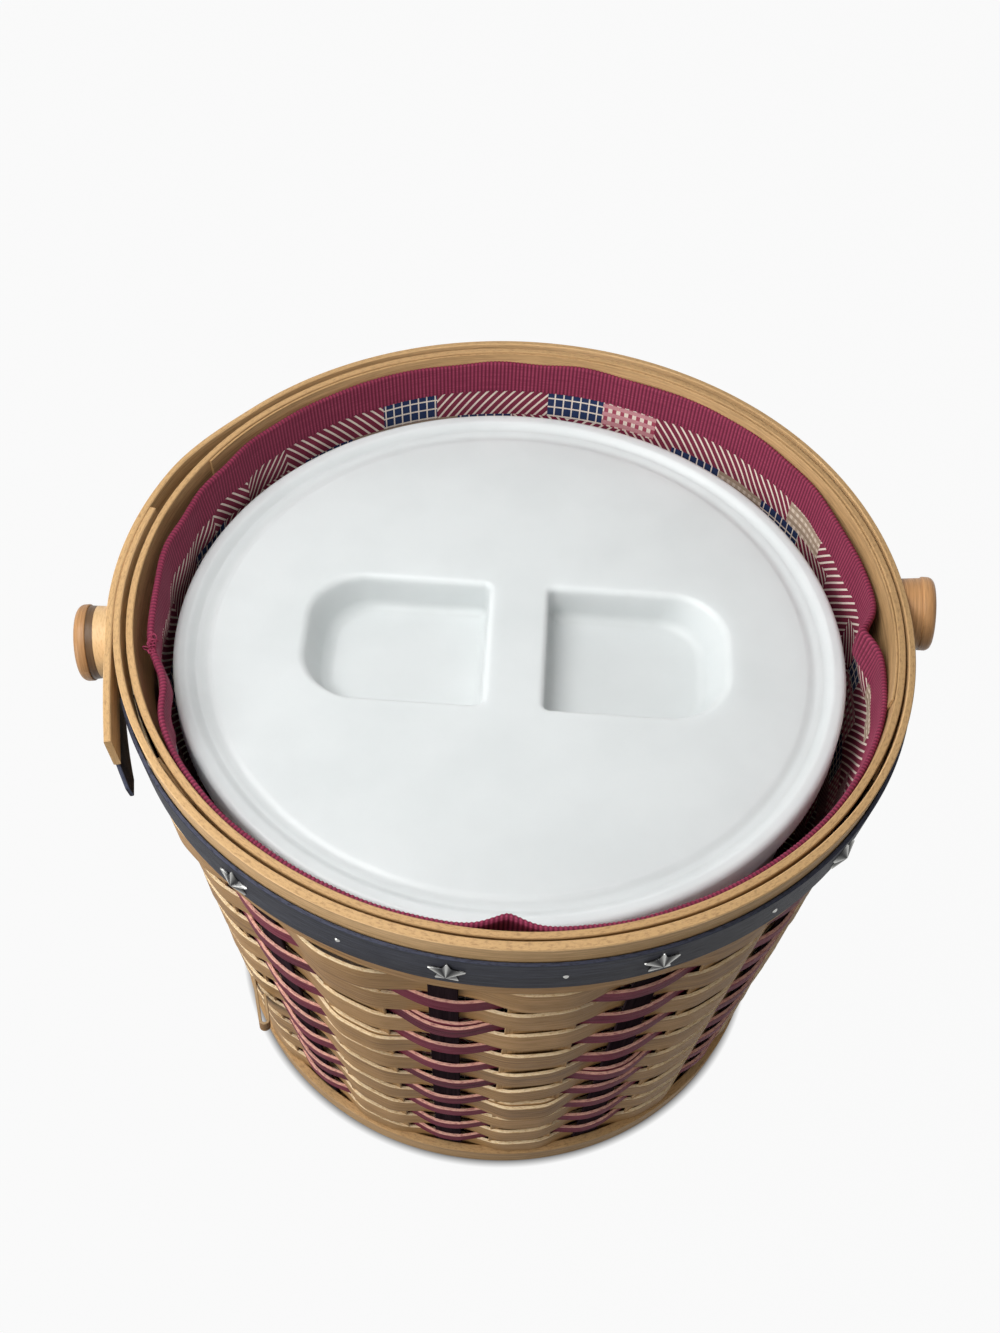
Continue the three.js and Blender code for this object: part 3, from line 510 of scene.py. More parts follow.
def upright_part(profile, azimuth, half_width):
    """A flat strip bent along a profile of radius and height, carried across its width."""
    path = polar(azimuth, profile[:, 0], profile[:, 1])
    along = np.gradient(path, axis=0)
    across = np.array([-np.sin(azimuth), np.cos(azimuth), 0.0])
    normal = np.cross(along, across)
    normal /= np.linalg.norm(normal, axis=1)[:, None]
    side = np.broadcast_to(across, path.shape)
    return strip_part(path, normal, side, UPRIGHT_THICKNESS, 2 * half_width, False, 0.18, UPRIGHT_WEAR)


STAVE_TOP = span("navy_stave_01")[1][2] - 4
STRIP_LEVEL = span("natural_strip_01")[0][2] + UPRIGHT_THICKNESS / 2
STRIP_STEP = 1.3
CROSSING = NATURAL_HALF_WIDTH / np.sin(UPRIGHT_STEP) + 0.3
RAMP_RUN = 30
TOE = (NATURAL_HALF_WIDTH + NAVY_HALF_WIDTH * np.cos(UPRIGHT_STEP) + 1.5) / np.sin(UPRIGHT_STEP)
BEND_REACH = 4


def upright_radius(z):
    """Radius of an upright's middle at a height."""
    return wall_radius(z) + UPRIGHT_MIDDLE


def add_uprights():
    """The uprights. A natural strip runs down the wall, across below the base and up the far side, and each
    next one drops a step lower where they cross. A navy stave runs down the wall and ends in a toe."""
    leg = [(upright_radius(STAVE_TOP), STAVE_TOP), (upright_radius(STRIP_LEVEL), STRIP_LEVEL)]
    for i in range(6):
        drop = [(CROSSING + RAMP_RUN, STRIP_LEVEL), (CROSSING, STRIP_LEVEL - i * STRIP_STEP)] if i else []
        half = leg + drop
        profile = rounded_path(half + [(-x, z) for x, z in half[::-1]], BEND_REACH)
        strip = upright_part(profile, 2 * i * UPRIGHT_STEP, NATURAL_HALF_WIDTH)
        add_piece(f"natural_upright_{i + 1:02d}", [strip], NATURAL, [f"natural_strip_{i + 1:02d}"])
    for i in range(12):
        profile = rounded_path(leg + [(TOE, STRIP_LEVEL)], BEND_REACH)
        strip = upright_part(profile, (2 * i + 1) * UPRIGHT_STEP, NAVY_HALF_WIDTH)
        add_piece(f"navy_upright_{i + 1:02d}", [strip], SHADED_STAVE, [f"navy_stave_{i + 1:02d}"])


# Woven rows, which lean with the wall and lie tight on the uprights that they pass over
STATIONS = 24 * 24
ROW_AZIMUTH = np.arange(STATIONS) * TURN / STATIONS
# Each kind of row: its thickness, wall offsets over and behind an upright, half lengths that lie flat there,
# the first upright that it passes over, and the swell of its edges over an upright
ROWS = {
    "natural": {"finish": NATURAL, "thick": 1.5, "crest": -1.9, "trough": -6.2, "flat": 5, "behind": 6,
                "first": 0, "swell": 1.0},
    "burgundy": {"finish": BURGUNDY, "thick": 1.4, "crest": -2.5, "trough": -5.8, "flat": 1.0, "behind": 9.5,
                 "first": 1, "swell": 0.0},
}
LAP_HALF, LAP_SPREAD = np.radians(11.5), np.radians(8)
SEEN_LAPS = {"burgundy_weaver_08": 255, "burgundy_weaver_05": 285, "natural_weaver_07": 240,
             "natural_weaver_04": 270}
FOOT_ROW = "natural_weaver_01"
BULGED_ROW = "natural_weaver_10"
LOOSE_ROW = "natural_weaver_04"
LOOSE_AZIMUTH = np.radians(212.7)
# Behind an upright, how much further down the foot row reaches, and how much closer it lies
FOOT_DEPTH, FOOT_TUCK = 7.5, 0.65
# Unevenness of a row in and out, up and down, up and down in the end rows, and in its lean
ROW_RIPPLE, ROW_SWAY, END_SWAY, LEAN_RIPPLE = 0.16, 0.5, 0.15, 0.02
# The second layer of a lap: its gap behind the first, and how much higher it lies over an upright
LAP_GAP, LAP_RAISE = 0.1, 1.3
# Each bulge of the top row: how far out, middle and spread in degrees
BULGES = [(2.8, 239, 12), (1.2, 271, 9), (3.2, 203, 9)]
WEAVE_LOW, WEAVE_HIGH = levels(FOOT_ROW)[0], levels(BULGED_ROW)[1]
SINK, SINK_MORE, RISE, DIP = 7.0, 3.4, 2.5, 3.0
SINK_AT, DIP_AT = (250, 22), (252, 16)


def row_level(z):
    """Where a level of the even weave lies round the finished wall, whose rows are beaten down below and
    looser above: lowered by a sine of its share of the height, most at the front left, where all rows dip,
    and raised by its cube. No row reaches down to the base hoop."""
    t = (z - WEAVE_LOW) / (WEAVE_HIGH - WEAVE_LOW)
    sunk = (SINK + SINK_MORE * bell(ROW_AZIMUTH, *SINK_AT)) * np.sin(np.pi * t)
    return np.maximum(z - sunk - DIP * bell(ROW_AZIMUTH, *DIP_AT) + RISE * t**3, WEAVE_LOW)


def row_wave(kind, radius):
    """1 where a row passes over its uprights and -1 where it passes behind the others: a cosine of the arc
    length away from the nearest upright that it passes over, flat across both uprights."""
    row = ROWS[kind]
    step = UPRIGHT_STEP * radius
    phase = ROW_AZIMUTH / UPRIGHT_STEP + row["first"]
    away = np.abs((phase + 1) % 2 - 1) * step
    start, end = row["flat"], step - row["behind"]
    return np.cos(np.pi * np.clip((away - start) / (end - start), 0, 1))


LOOSE_LEAN = np.radians(25)
# The fourth is how far the sprung end's cut edges take the paler edge colour, which is partly painted
# highlight.
LOOSE_BEND, LOOSE_LEG, LOOSE_RAISE, LOOSE_WEAR = 1.6, 20.5, 5.5, 0.3
LOOSE_THICKNESS, LOOSE_WIDTH = 1.2, 5.5
LOOSE_START = np.array([-6.5, -1.5])


def loose_end(z):
    """The sprung end of a row, doubled back: a straight leg that leaves the wall at a lean, a half circle at
    its end, and a shorter leg back towards the wall."""
    along = np.array([np.cos(LOOSE_LEAN), np.sin(LOOSE_LEAN)])
    back = np.array([along[1], -along[0]])
    turn = np.radians(np.linspace(0, 180, 25))[:, None]
    away = np.linspace(0, LOOSE_LEG, 24)[:, None]
    tip = LOOSE_START + along * LOOSE_LEG
    bend = tip + LOOSE_BEND * (back * (1 - np.cos(turn)) + along * np.sin(turn))
    legs = [tip + along * (away - LOOSE_LEG), bend[1:-1], tip + 2 * LOOSE_BEND * back - along * away[:14]]
    round_it = (along * np.sin(turn) - back * np.cos(turn))[1:-1]
    face = np.concatenate([np.repeat(-back[None], 24, 0), round_it, np.repeat(back[None], 14, 0)])
    sideways, lift = np.concatenate(legs).T
    path, out, up = wall_frame(LOOSE_AZIMUTH, z, lift, 0.0, sideways)
    normal = out * face[:, 1:] + np.cross(up, out) * face[:, :1]
    return strip_part(path, normal, up, LOOSE_THICKNESS, LOOSE_WIDTH, False, bare_and_painted_light=LOOSE_WEAR)


def add_row(kind, node):
    """One woven row: its ring, and the short second layer where its two ends lap."""
    row = ROWS[kind]
    low, high = levels(node)
    wave = row_wave(kind, wall_radius((low + high) / 2))
    lap_at = np.radians(SEEN_LAPS.get(node, 30 * rng.integers(0, 5) + 15 * row["first"]))
    away = (ROW_AZIMUTH - lap_at + np.pi) % TURN - np.pi
    over = (1 + wave) / 2
    low, high = row_level(low), row_level(high) + row["swell"] * over**3
    low -= FOOT_DEPTH * smoothstep(over, 0.6, 0.1) if node == FOOT_ROW else row["swell"] * over**3
    middle, tall = (low + high) / 2, high - low
    trough = row["trough"] + FOOT_TUCK * (node == FOOT_ROW)
    offset = trough + (row["crest"] - trough) * over + new_ripple(ROW_RIPPLE)(ROW_AZIMUTH) * over
    offset += row["thick"] * np.exp(-((away / LAP_SPREAD) ** 4)) * over
    if node == BULGED_ROW:
        offset += sum(size * bell(ROW_AZIMUTH, *rest) for size, *rest in BULGES)
    sway = END_SWAY if node in (FOOT_ROW, BULGED_ROW) else ROW_SWAY
    z = middle + new_ripple(sway)(ROW_AZIMUTH) * over**2
    tilt = WALL_TILT + new_ripple(LEAN_RIPPLE)(ROW_AZIMUTH)
    path, out, up = wall_frame(ROW_AZIMUTH, z, offset, tilt)
    parts = [strip_part(path, out, up, row["thick"], tall, True)]
    lapped = np.flatnonzero(np.abs(away) < LAP_HALF)
    lapped = lapped[np.argsort(away[lapped])]
    under = path[lapped] - out[lapped] * (row["thick"] + LAP_GAP)
    under += up[lapped] * LAP_RAISE * over[lapped, None]
    parts.append(strip_part(under, out[lapped], up[lapped], row["thick"], tall[lapped], False))
    if node == LOOSE_ROW:
        there = round(LOOSE_AZIMUTH / TURN * STATIONS)
        parts.append(loose_end(middle[there] + LOOSE_RAISE))
    add_piece(node.replace("weaver", "row"), parts, row["finish"], [node])


# Hoops, rim bands and trim
HOOP_RIPPLE, BAND_ROUND = 0.05, 0.35


def add_hoop(name, node, finish, offset, thick):
    """A bent hoop that follows the wall all round, with its slanting edges inside the node's levels."""
    low, high = levels(node)
    azimuth = np.arange(360) * TURN / 360
    offset = offset + new_ripple(HOOP_RIPPLE)(azimuth)
    slant = thick * np.sin(WALL_TILT) / 2
    ring = wall_strip(azimuth, low + slant, high - slant, offset, thick, True, BAND_ROUND)
    add_piece(name, [ring], finish, [node])


# Where a lapped band climbs on its own start, and where it runs off the wall, in degrees
CLIMB_START, CLIMB_END, RUN_OFF = 132, 150, 180
BAND_START, BAND_TAIL, BAND_SPRING, BAND_SWELL = 158, 56.5, 2.4, 0.8
TRIM_START, TRIM_TAIL, TRIM_SPRING, TRIM_TWIST = 192, 61, 6.4, 0.12
TRIM_POINT_LENGTH, TRIM_POINT_FOOT, TRIM_POINT_TOP = 8, 2, 6.5
TAIL_START = 2


def lapped_path(start, tail, spring):
    """Azimuth, stand-off and shift along the tangent of a band that starts on the wall, laps over its own
    start in its second turn and runs off on a slow curve: the stand-off falls with the square of the run, by
    spring at its end."""
    azimuth = np.radians(np.arange(start, 360 + RUN_OFF + 0.1, 1.0))
    climb = smoothstep(np.degrees(azimuth), 360 + CLIMB_START, 360 + CLIMB_END)
    stand = LAP_OFFSET * climb - rim_squeeze(azimuth)
    reach = np.concatenate([np.zeros(len(azimuth)), tail])
    azimuth = np.concatenate([azimuth, np.full(len(tail), np.radians(360 + RUN_OFF))])
    return azimuth, np.concatenate([stand, LAP_OFFSET - spring * (tail / tail[-1]) ** 2]), reach


def add_outer_band():
    """The outer band: a strip carried round the rim, over its own start and off along the tangent, thicker
    inwards at the front by a bell of the azimuth."""
    low, high = levels("outer_rim_band")
    tail = np.linspace(TAIL_START, BAND_TAIL, 28)
    azimuth, stand, reach = lapped_path(BAND_START, tail, BAND_SPRING)
    thick = BAND_THICKNESS + BAND_SWELL * bell(azimuth, 268, 48, 4.0)
    band = wall_strip(azimuth, low, high, stand - thick / 2, thick[:, None], False, BAND_ROUND, reach)
    add_piece("rim_band_outer", [band], LIT_OUTER_WOOD, ["outer_rim_band"])


LINING_OFFSET, LINING_THICKNESS, LINING_DROP, LINING_ENDS = -7.65, 0.9, 0.6, (-21.5, 145)


def add_inner_bands():
    """The inner band all round, and the lapped layer inside it across the back, whose two ends show."""
    add_hoop("rim_band_inner", "inner_rim_band", RIM_WOOD, offset=-5.78, thick=2.7)
    low, high = levels("inner_rim_band")
    azimuth = np.radians(np.linspace(*LINING_ENDS, 200))
    layer = wall_strip(azimuth, low, high - LINING_DROP, LINING_OFFSET, LINING_THICKNESS, False, 0.2)
    add_piece("rim_band_lining", [layer], RIM_WOOD, [])


def add_trim():
    """The navy trim: a strip carried round outside the rim bands, over its own start and off along the
    tangent, where its lean changes with the run and its end narrows to a point."""
    low, high = levels("trim_strip")
    shoulder = TRIM_TAIL - TRIM_POINT_LENGTH
    tail = np.concatenate([np.linspace(TAIL_START, shoulder, 28), np.linspace(shoulder + 0.5, TRIM_TAIL, 16)])
    azimuth, stand, reach = lapped_path(TRIM_START, tail, TRIM_SPRING)
    point = np.clip((reach - shoulder) / TRIM_POINT_LENGTH, 0, 1)
    foot, top = low + TRIM_POINT_FOOT * point, high + (low + TRIM_POINT_TOP - high) * point
    stand = stand + TRIM_OFFSET + TRIM_THICKNESS / 2
    tilt = WALL_TILT + TRIM_TWIST * reach / TRIM_TAIL
    strip = wall_strip(azimuth, foot, top, stand, TRIM_THICKNESS, False, 0.3, reach, tilt)
    add_piece("navy_trim", [strip], NAVY, ["trim_strip"])


# Studs, tacks and knobs


def wall_axes(azimuth, tilt=WALL_TILT):
    """Across, up and outward directions at an azimuth, on the sloping wall or at another tilt."""
    _, out, up = wall_frame(azimuth, 0, 0, tilt)
    return np.cross(up, out), up, out


TRIM_MIDDLE = sum(levels("trim_strip")) / 2
STAR_OUTER, STAR_INNER, STAR_RIM, STAR_CROWN = 7.0, 3.1, 0.7, 1.9


def trim_seat(azimuth):
    """The point on the trim's face at its middle height, over the lap where there is one."""
    climb = smoothstep(np.degrees(azimuth), CLIMB_START, CLIMB_END) if azimuth < np.pi else 0.0
    r = wall_radius(TRIM_MIDDLE) + TRIM_OFFSET + TRIM_THICKNESS + LAP_OFFSET * climb - rim_squeeze(azimuth)
    return polar(azimuth, r, TRIM_MIDDLE)


def star_part():
    """A five-pointed stud: an outline of ten straight sides with softened corners, drawn in to the middle
    as it rises, so that a ridge runs to each point. Point = share * outline, and height = rim + crown *
    (1 - share)."""
    corner = np.arange(11) * np.pi / 5 + np.pi / 2
    radius = np.where(np.arange(11) % 2 == 0, STAR_OUTER, STAR_INNER)
    tips = polar(corner, radius, 0)[:, :2]
    t = np.linspace(0, 1, 8, endpoint=False)[None, :, None]
    outline = (tips[:-1, None] * (1 - t) + tips[1:, None] * t).reshape(-1, 2)
    for _ in range(2):
        outline = (np.roll(outline, 1, 0) + 2 * outline + np.roll(outline, -1, 0)) / 4
    share = np.array([1, 1, 0.985, 0.95, 0.8, 0.6, 0.4, 0.2, 0.05])
    height = STAR_RIM + STAR_CROWN * (1 - share)
    height[0] = 0
    height[1] = STAR_RIM - 0.15
    points = table(*(share[:, None] * axis for axis in outline.T), height[:, None])
    reach = np.linalg.norm(outline, axis=1)
    ridge = (reach - reach.min()) / np.ptp(reach)
    return grid_part(points, wear_and_painted_light=0.1 + 0.9 * ridge, ring=False)


STAR_SHIFT = {"star_stud_09": 1.2, "star_stud_10": -1.0}
TACK_SHIFT = 1.4
# Steps of 30 degrees without a tack
BARE_STEPS = (0, 6, 7)


def add_studs():
    """The stars over navy staves, and a tack between two neighbours at each step of 30 degrees, except over
    each knob and at the step after the left knob's.
    """
    for i in range(12):
        node = f"star_stud_{i + 1:02d}"
        azimuth = (2 * i + 1) * UPRIGHT_STEP + np.radians(STAR_SHIFT.get(node, 0))
        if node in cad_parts:
            part = placed(star_part(), *wall_axes(azimuth), trim_seat(azimuth))
            add_piece(f"star_{i + 1:02d}", [part], STUD, [node], crisp=70)
    dome = np.concatenate([[[1.0, 0]], arc((0, -0.6), 1.2, 32, 84, 6)])
    tacks = [placed(turned_part(dome, 20, wear_and_painted_light=1.0), *wall_axes(a), trim_seat(a))
             for a in np.radians([30 * k + TACK_SHIFT for k in range(12) if k not in BARE_STEPS])]
    add_piece("rim_tacks", tacks, STUD, [])


KNOB_LEVEL = HEIGHT - 13
KNOB_SIDES = 72
HEAD_RADIUS, HEAD_EDGE, HEAD_DOME = 13.9, 2.5, 0.35
# The last is the length of neck behind the head that is painted dark, as painted shade.
NECK_RADIUS, TENON_RADIUS, TENON_END, PAINTED_SHADE_WIDTH = 12.7, 4.8, -6.0, 2.8


def add_knob(name, node, azimuth, reach, seat, head, bare_and_painted_light, swing, dip, drop):
    """A turned knob: a tenon, a neck that widens to the head and whose foot is cut to the wall's slope, and a
    flat head of a thickness, crisp at its back and rounded in front. Its axis swings sideways, dips and drops
    from the level. The profile is radius and distance out from the wall there."""
    stand = reach - wall_radius(KNOB_LEVEL)
    back = stand - head
    rim = HEAD_RADIUS - HEAD_EDGE
    neck_at = np.concatenate([np.linspace(seat, back - PAINTED_SHADE_WIDTH - 0.1, 7), [back - PAINTED_SHADE_WIDTH, back - 0.05]])
    neck = table(np.interp(neck_at, [seat, back], [NECK_RADIUS, HEAD_RADIUS - 0.5]), neck_at)
    face = table(np.linspace(rim - 1, 0.6, 8), stand)
    face[:, 1] -= HEAD_DOME * (face[:, 0] / rim) ** 2
    profile = np.concatenate([
        [[TENON_RADIUS, TENON_END], [TENON_RADIUS, seat]], neck,
        arc((HEAD_RADIUS - 0.4, back + 0.4), 0.4, -90, 0, 5),
        arc((rim, stand - HEAD_DOME - HEAD_EDGE), HEAD_EDGE, 0, 90, 10), face])
    wear_and_painted_light = np.zeros((len(profile), 1))
    # The tenon and neck are marked pale by the knob's paleness setting (the left knob's pale neck); the ring
    # behind the head is painted shade, and the rest of the head takes three tenths of that mark, a lighter
    # painted shade.
    wear_and_painted_light[:9], wear_and_painted_light[9:11], wear_and_painted_light[11:] = bare_and_painted_light, -bare_and_painted_light, -0.3 * bare_and_painted_light
    part = turned_part(profile, KNOB_SIDES, wear_and_painted_light=wear_and_painted_light)
    azimuth, dip = azimuth + np.radians(swing), np.radians(dip)
    slope = np.repeat(np.tan(WALL_TILT - dip) * (1 - smoothstep(profile[:, 1], seat, back)), KNOB_SIDES)
    part["points"][:, 2] += slope * part["points"][:, 1]
    axes = wall_axes(azimuth, dip)
    middle = np.array([reach * np.sign(np.cos(azimuth)), 0, KNOB_LEVEL - drop])
    part = placed(part, *axes, middle - stand * axes[2])
    add_piece(name, [part], KNOB_WOOD, [node], crisp=50)


# Liner: a cloth bag with a ribbon folded over its edge
LINER_BOTTOM, LINER_TOP = levels("liner_bag")
MOUTH_RADIUS = wall_radius(LINER_TOP) + LINER_OFFSET
BAG_BASE = wall_radius(LINER_BOTTOM) + LINER_OFFSET
BAG_AZIMUTH = np.arange(720) * TURN / 720
RIB_PITCH = 1.6
RIBS = round(TURN * MOUTH_RADIUS / RIB_PITCH)
RIBBON_AZIMUTH = np.arange(2 * RIBS) * TURN / (2 * RIBS)
RIB_DEPTH = 0.3
FOLD_REACH = 38
FOLD_DEPTH = 8.6
CLOTH = 0.7
EASE = 0.35
RIBBON_DROP = 13
RIBBON_BACK = 9
RIBBON_THICKNESS = 0.5
# Half the gap between the ribbon's leaves, and how much it opens at the deepest fold
HALF_GAP, FOLD_GAP = 0.6, 0.55
# Each fold of the edge: its share of the deepest fold, middle and spread in degrees, and sharpness
FOLDS = [(0.27, 5, 24, 4.0), (0.72, -5.6, 3.3, 1.4), (0.3, 165, 36, 4.0), (0.44, 192, 6.5, 2.0),
         (0.2, 177, 9, 2.0),
         (0.55, -96.4, 3.6, 1.6), (0.07, 38, 6, 2.0), (0.07, 62, 7, 2.0), (0.07, 118, 10, 2.0)]
# Each stretch where the edge sags: how far, middle and spread in degrees, and sharpness
SAGS = [(2.2, 100, 85, 6.0), (4.4, -6, 30, 2.0)]
MOST_FOLD = 1.14
RUFFLE = new_ripple(0.3, 9, 34)
GATHER = new_ripple(0.55, 16, 44)
EDGE_RISE = new_ripple(0.25, 5, 30)


def fold_share(azimuth):
    """Depth of the edge's folds as a share of the deepest: a sum of bells, cut off at the most."""
    return np.minimum(sum(part * bell(azimuth, *rest) for part, *rest in FOLDS), MOST_FOLD)


def drawn_in(azimuth, z):
    """Depth of the folds and ruffles at each height and azimuth, fading out down the bag, and of the gathers,
    which are deepest halfway down the folds."""
    share = fold_share(azimuth)
    fade = smoothstep(np.asarray(z)[..., None], LINER_TOP - FOLD_REACH, LINER_TOP)
    loose = np.minimum(4 * share, 1)
    folds = fade * (EASE + FOLD_DEPTH * share + loose * np.clip(RUFFLE(azimuth), -0.7, 1.2))
    return folds + 4 * fade * (1 - fade) * loose * np.clip(0.9 + GATHER(azimuth), 0, 2.4)


def sagged(azimuth, z):
    """Heights of the cloth where its edge sags: the whole ribbon by as much, the cloth below it by less."""
    z = np.asarray(z, float).reshape(-1, 1)
    sag = sum(depth * bell(azimuth, *rest) for depth, *rest in SAGS)
    return z - sag * smoothstep(z, LINER_TOP - FOLD_REACH, LINER_TOP - RIBBON_DROP)


def liner_places(points):
    """Where the cloth's corners lie on the flat cut: arc length at the mouth, length along the profile."""
    around = np.linspace(0, TURN * MOUTH_RADIUS, points.shape[1] + 1)
    return table(around, run_length(points[:, 0])[:, None])


def add_liner_bag():
    """The bag: floor and wall carried round the axis, with an inner face a cloth's thickness inside."""
    heights = np.concatenate([np.linspace(LINER_BOTTOM + 1, LINER_TOP - FOLD_REACH, 10)[:-1],
                              np.linspace(LINER_TOP - FOLD_REACH, LINER_TOP - 1.2, 16)])
    level = np.ones((7, len(BAG_AZIMUTH)))
    floor = np.linspace(4, BAG_BASE - 1, 7)[:, None] * level
    z = sagged(BAG_AZIMUTH, heights)
    wall = wall_radius(z) + LINER_OFFSET - drawn_in(BAG_AZIMUTH, heights)
    outer = polar(BAG_AZIMUTH, np.concatenate([floor, wall]), np.concatenate([LINER_BOTTOM * level, z]))
    inner = polar(BAG_AZIMUTH, np.concatenate([floor - 0.2, wall - CLOTH]),
                  np.concatenate([(LINER_BOTTOM + CLOTH) * level, z]))
    points = np.concatenate([outer, inner[::-1]])
    part = grid_part(points, liner_places(points), ring=False)
    bag = add_piece("liner_cloth", [part], PATCHWORK, ["liner_bag"])
    return bag


def add_ribbon(bag):
    """The ribbon: a hairpin section, up inside the cloth, over its edge and down outside, carried round the
    folds. Every second station stands proud by the rib depth."""
    half = HALF_GAP + FOLD_GAP * fold_share(RIBBON_AZIMUTH)
    inside = np.linspace(LINER_TOP - RIBBON_DROP, LINER_TOP - 1, 12)
    bend = np.radians(np.linspace(180, 0, 9)[1:-1])
    outside = np.linspace(LINER_TOP - 1, LINER_TOP - RIBBON_BACK, 6)
    # A rib's crown at every second station; the ribbon's finish paints the crowns lighter and the stations
    # between darker, as painted highlight and painted shade.
    crown = np.arange(2 * RIBS) % 2

    def leaf(gap, rib):
        """One face of the hairpin, a gap from the cloth's middle, with its ribs standing out by rib."""
        turn = np.concatenate([np.full(len(inside), np.pi), bend, np.zeros(len(outside))])[:, None]
        gap = gap + rib * crown
        z = np.concatenate([inside, np.full(len(bend), LINER_TOP - 1), outside])[:, None]
        bent = (turn > 0) & (turn < np.pi)
        depth = drawn_in(RIBBON_AZIMUTH, z[:, 0])
        lift = smoothstep(z, LINER_TOP - RIBBON_DROP, LINER_TOP) * EDGE_RISE(RIBBON_AZIMUTH)
        z = sagged(RIBBON_AZIMUTH, z)
        r = wall_radius(z) + LINER_OFFSET - CLOTH / 2 - depth + HALF_GAP - half + gap * np.cos(turn)
        return polar(RIBBON_AZIMUTH, r, z + lift + np.where(bent, gap * np.sin(turn), 0))

    face, back = leaf(half + RIBBON_THICKNESS / 2, RIB_DEPTH), leaf(half - RIBBON_THICKNESS / 2, 0)
    points = np.concatenate([face, back[::-1], face[:1]])
    part = grid_part(points, liner_places(points), crown, ring=False, caps=())
    ribbon = add_piece("edge_ribbon", [part], RIBBON, ["liner_ribbon"], crisp=80, weld=True)


KNOT_AZIMUTH, KNOT_LOOPS, KNOT_INSET, KNOT_RAISE, THREAD_RADIUS = 185, 20, 1.3, 0.2, 0.28


def add_ribbon_knot():
    """Frayed thread where the ribbon's ends meet: seeded loops, each a tube round a small tilted circle."""
    turn = np.arange(16) * TURN / 16
    ring = np.arange(6) * TURN / 6
    azimuth = np.radians(KNOT_AZIMUTH)
    depth = drawn_in(np.array([azimuth]), np.array([LINER_TOP]))[0, 0]
    level = sagged(np.array([azimuth]), LINER_TOP)[0, 0] + KNOT_RAISE
    middle = polar(azimuth, MOUTH_RADIUS - depth - KNOT_INSET, level)
    parts = []
    for _ in range(KNOT_LOOPS):
        axes = np.linalg.qr(rng.normal(size=(3, 3)))[0]
        size = rng.uniform(0.7, 1.5)
        spine = size * (np.cos(turn)[:, None] * axes[0] + 0.6 * np.sin(turn)[:, None] * axes[1])
        out = spine / np.linalg.norm(spine, axis=1)[:, None]
        tube = THREAD_RADIUS * (np.cos(ring)[:, None] * out[:, None] + np.sin(ring)[:, None] * axes[2])
        place = middle + rng.normal(0, (0.9, 1.9, 0.6))
        parts.append(grid_part(place + spine[:, None] + tube, wear_and_painted_light=0.8))
    add_piece("ribbon_knot", parts, RIBBON, [], crisp=80)


# Tub and lid
LID_TOP = span("lid")[1][2]
PLATE_TOP = LID_TOP - 2.0
PLATE_BOTTOM = PLATE_TOP - 3.3
LIP_WIDTH, LIP_EDGE, GROOVE_WIDTH, GROOVE_DEPTH = 8.6, 2.2, 6.4, 0.6
PLATE_RADIUS = LID_RADIUS - LIP_WIDTH - GROOVE_WIDTH
SKIRT_BOTTOM = LID_TOP - 12
PLUG_HEIGHT, SHELL, PLAY, FLANGE_WIDTH, FLANGE_HEIGHT = 10, 3.0, 0.4, 4.5, 6
TUB_BASE_RADIUS = 102.2
FLANGE_RADIUS = LID_RADIUS - SHELL - PLAY
TUB_MOUTH = FLANGE_RADIUS - FLANGE_WIDTH
PLUG_RADIUS = TUB_MOUTH - PLAY
UNDER_RADIUS = PLUG_RADIUS - SHELL
HALF_BAR, POCKET_LENGTH, POCKET_HALF, POCKET_DEPTH, POCKET_WALL = 11.4, 68.0, 29.8, 14.0, 2.5
# How much a pocket draws in towards its floor at the bar, at its far end and at each side, and its corners
BAR_DRAFT, FAR_DRAFT, SIDE_DRAFT, FAR_CORNER, BAR_CORNER = 0.6, 8, 2.5, 21.5, 2.5
SKIRT_ROUND, PLUG_BEVEL, TUB_FOOT_ROUND, TUB_FLOOR_ROUND, TUB_EDGE_ROUND = 0.9, 0.6, 4, 6, 1
TUB_SHIFT = (-1.8, 2.4, 0)
POCKET_SHIFT = (1.8, 0.7)
HALF_TURN_STEPS = 120
BAR_STEPS = 44


def pocket_loop(grow, depth):
    """A pocket's outline in the lid's own axes, grown outwards, drawn in by its draft at a depth: a rounded
    rectangle with big corners at the far end, in as many points as the lid's half edge has."""
    share = depth / POCKET_DEPTH
    near = HALF_BAR + BAR_DRAFT * share - grow
    far = HALF_BAR + POCKET_LENGTH - FAR_DRAFT * share + grow
    half = POCKET_HALF - SIDE_DRAFT * share + grow
    big = max(FAR_CORNER + grow - SIDE_DRAFT * share, 1)
    small = max(BAR_CORNER + grow, 0.4)
    corners = [arc((far - big, big - half), big, -90, 0, 38), arc((far - big, half - big), big, 0, 90, 38),
               arc((near + small, half - small), small, 90, 180, 10),
               arc((near + small, small - half), small, 180, 270, 10)]
    loop = []
    for k, steps in enumerate((14, 16, 14, 24)):
        start, end = corners[k - 1][-1], corners[k][0]
        loop += [start + (end - start) * (np.arange(1, steps + 1) / (steps + 1))[:, None], corners[k]]
    return np.concatenate(loop)


def half_edge(radius):
    """The edge of half a disc: its half circle, then its straight side back along the bar."""
    turn = arc((0, 0), radius, -90, 90, HALF_TURN_STEPS + 1)[:-1]
    line = table(0.0, np.linspace(radius, -radius, BAR_STEPS + 1)[:-1])
    return np.concatenate([turn, line])


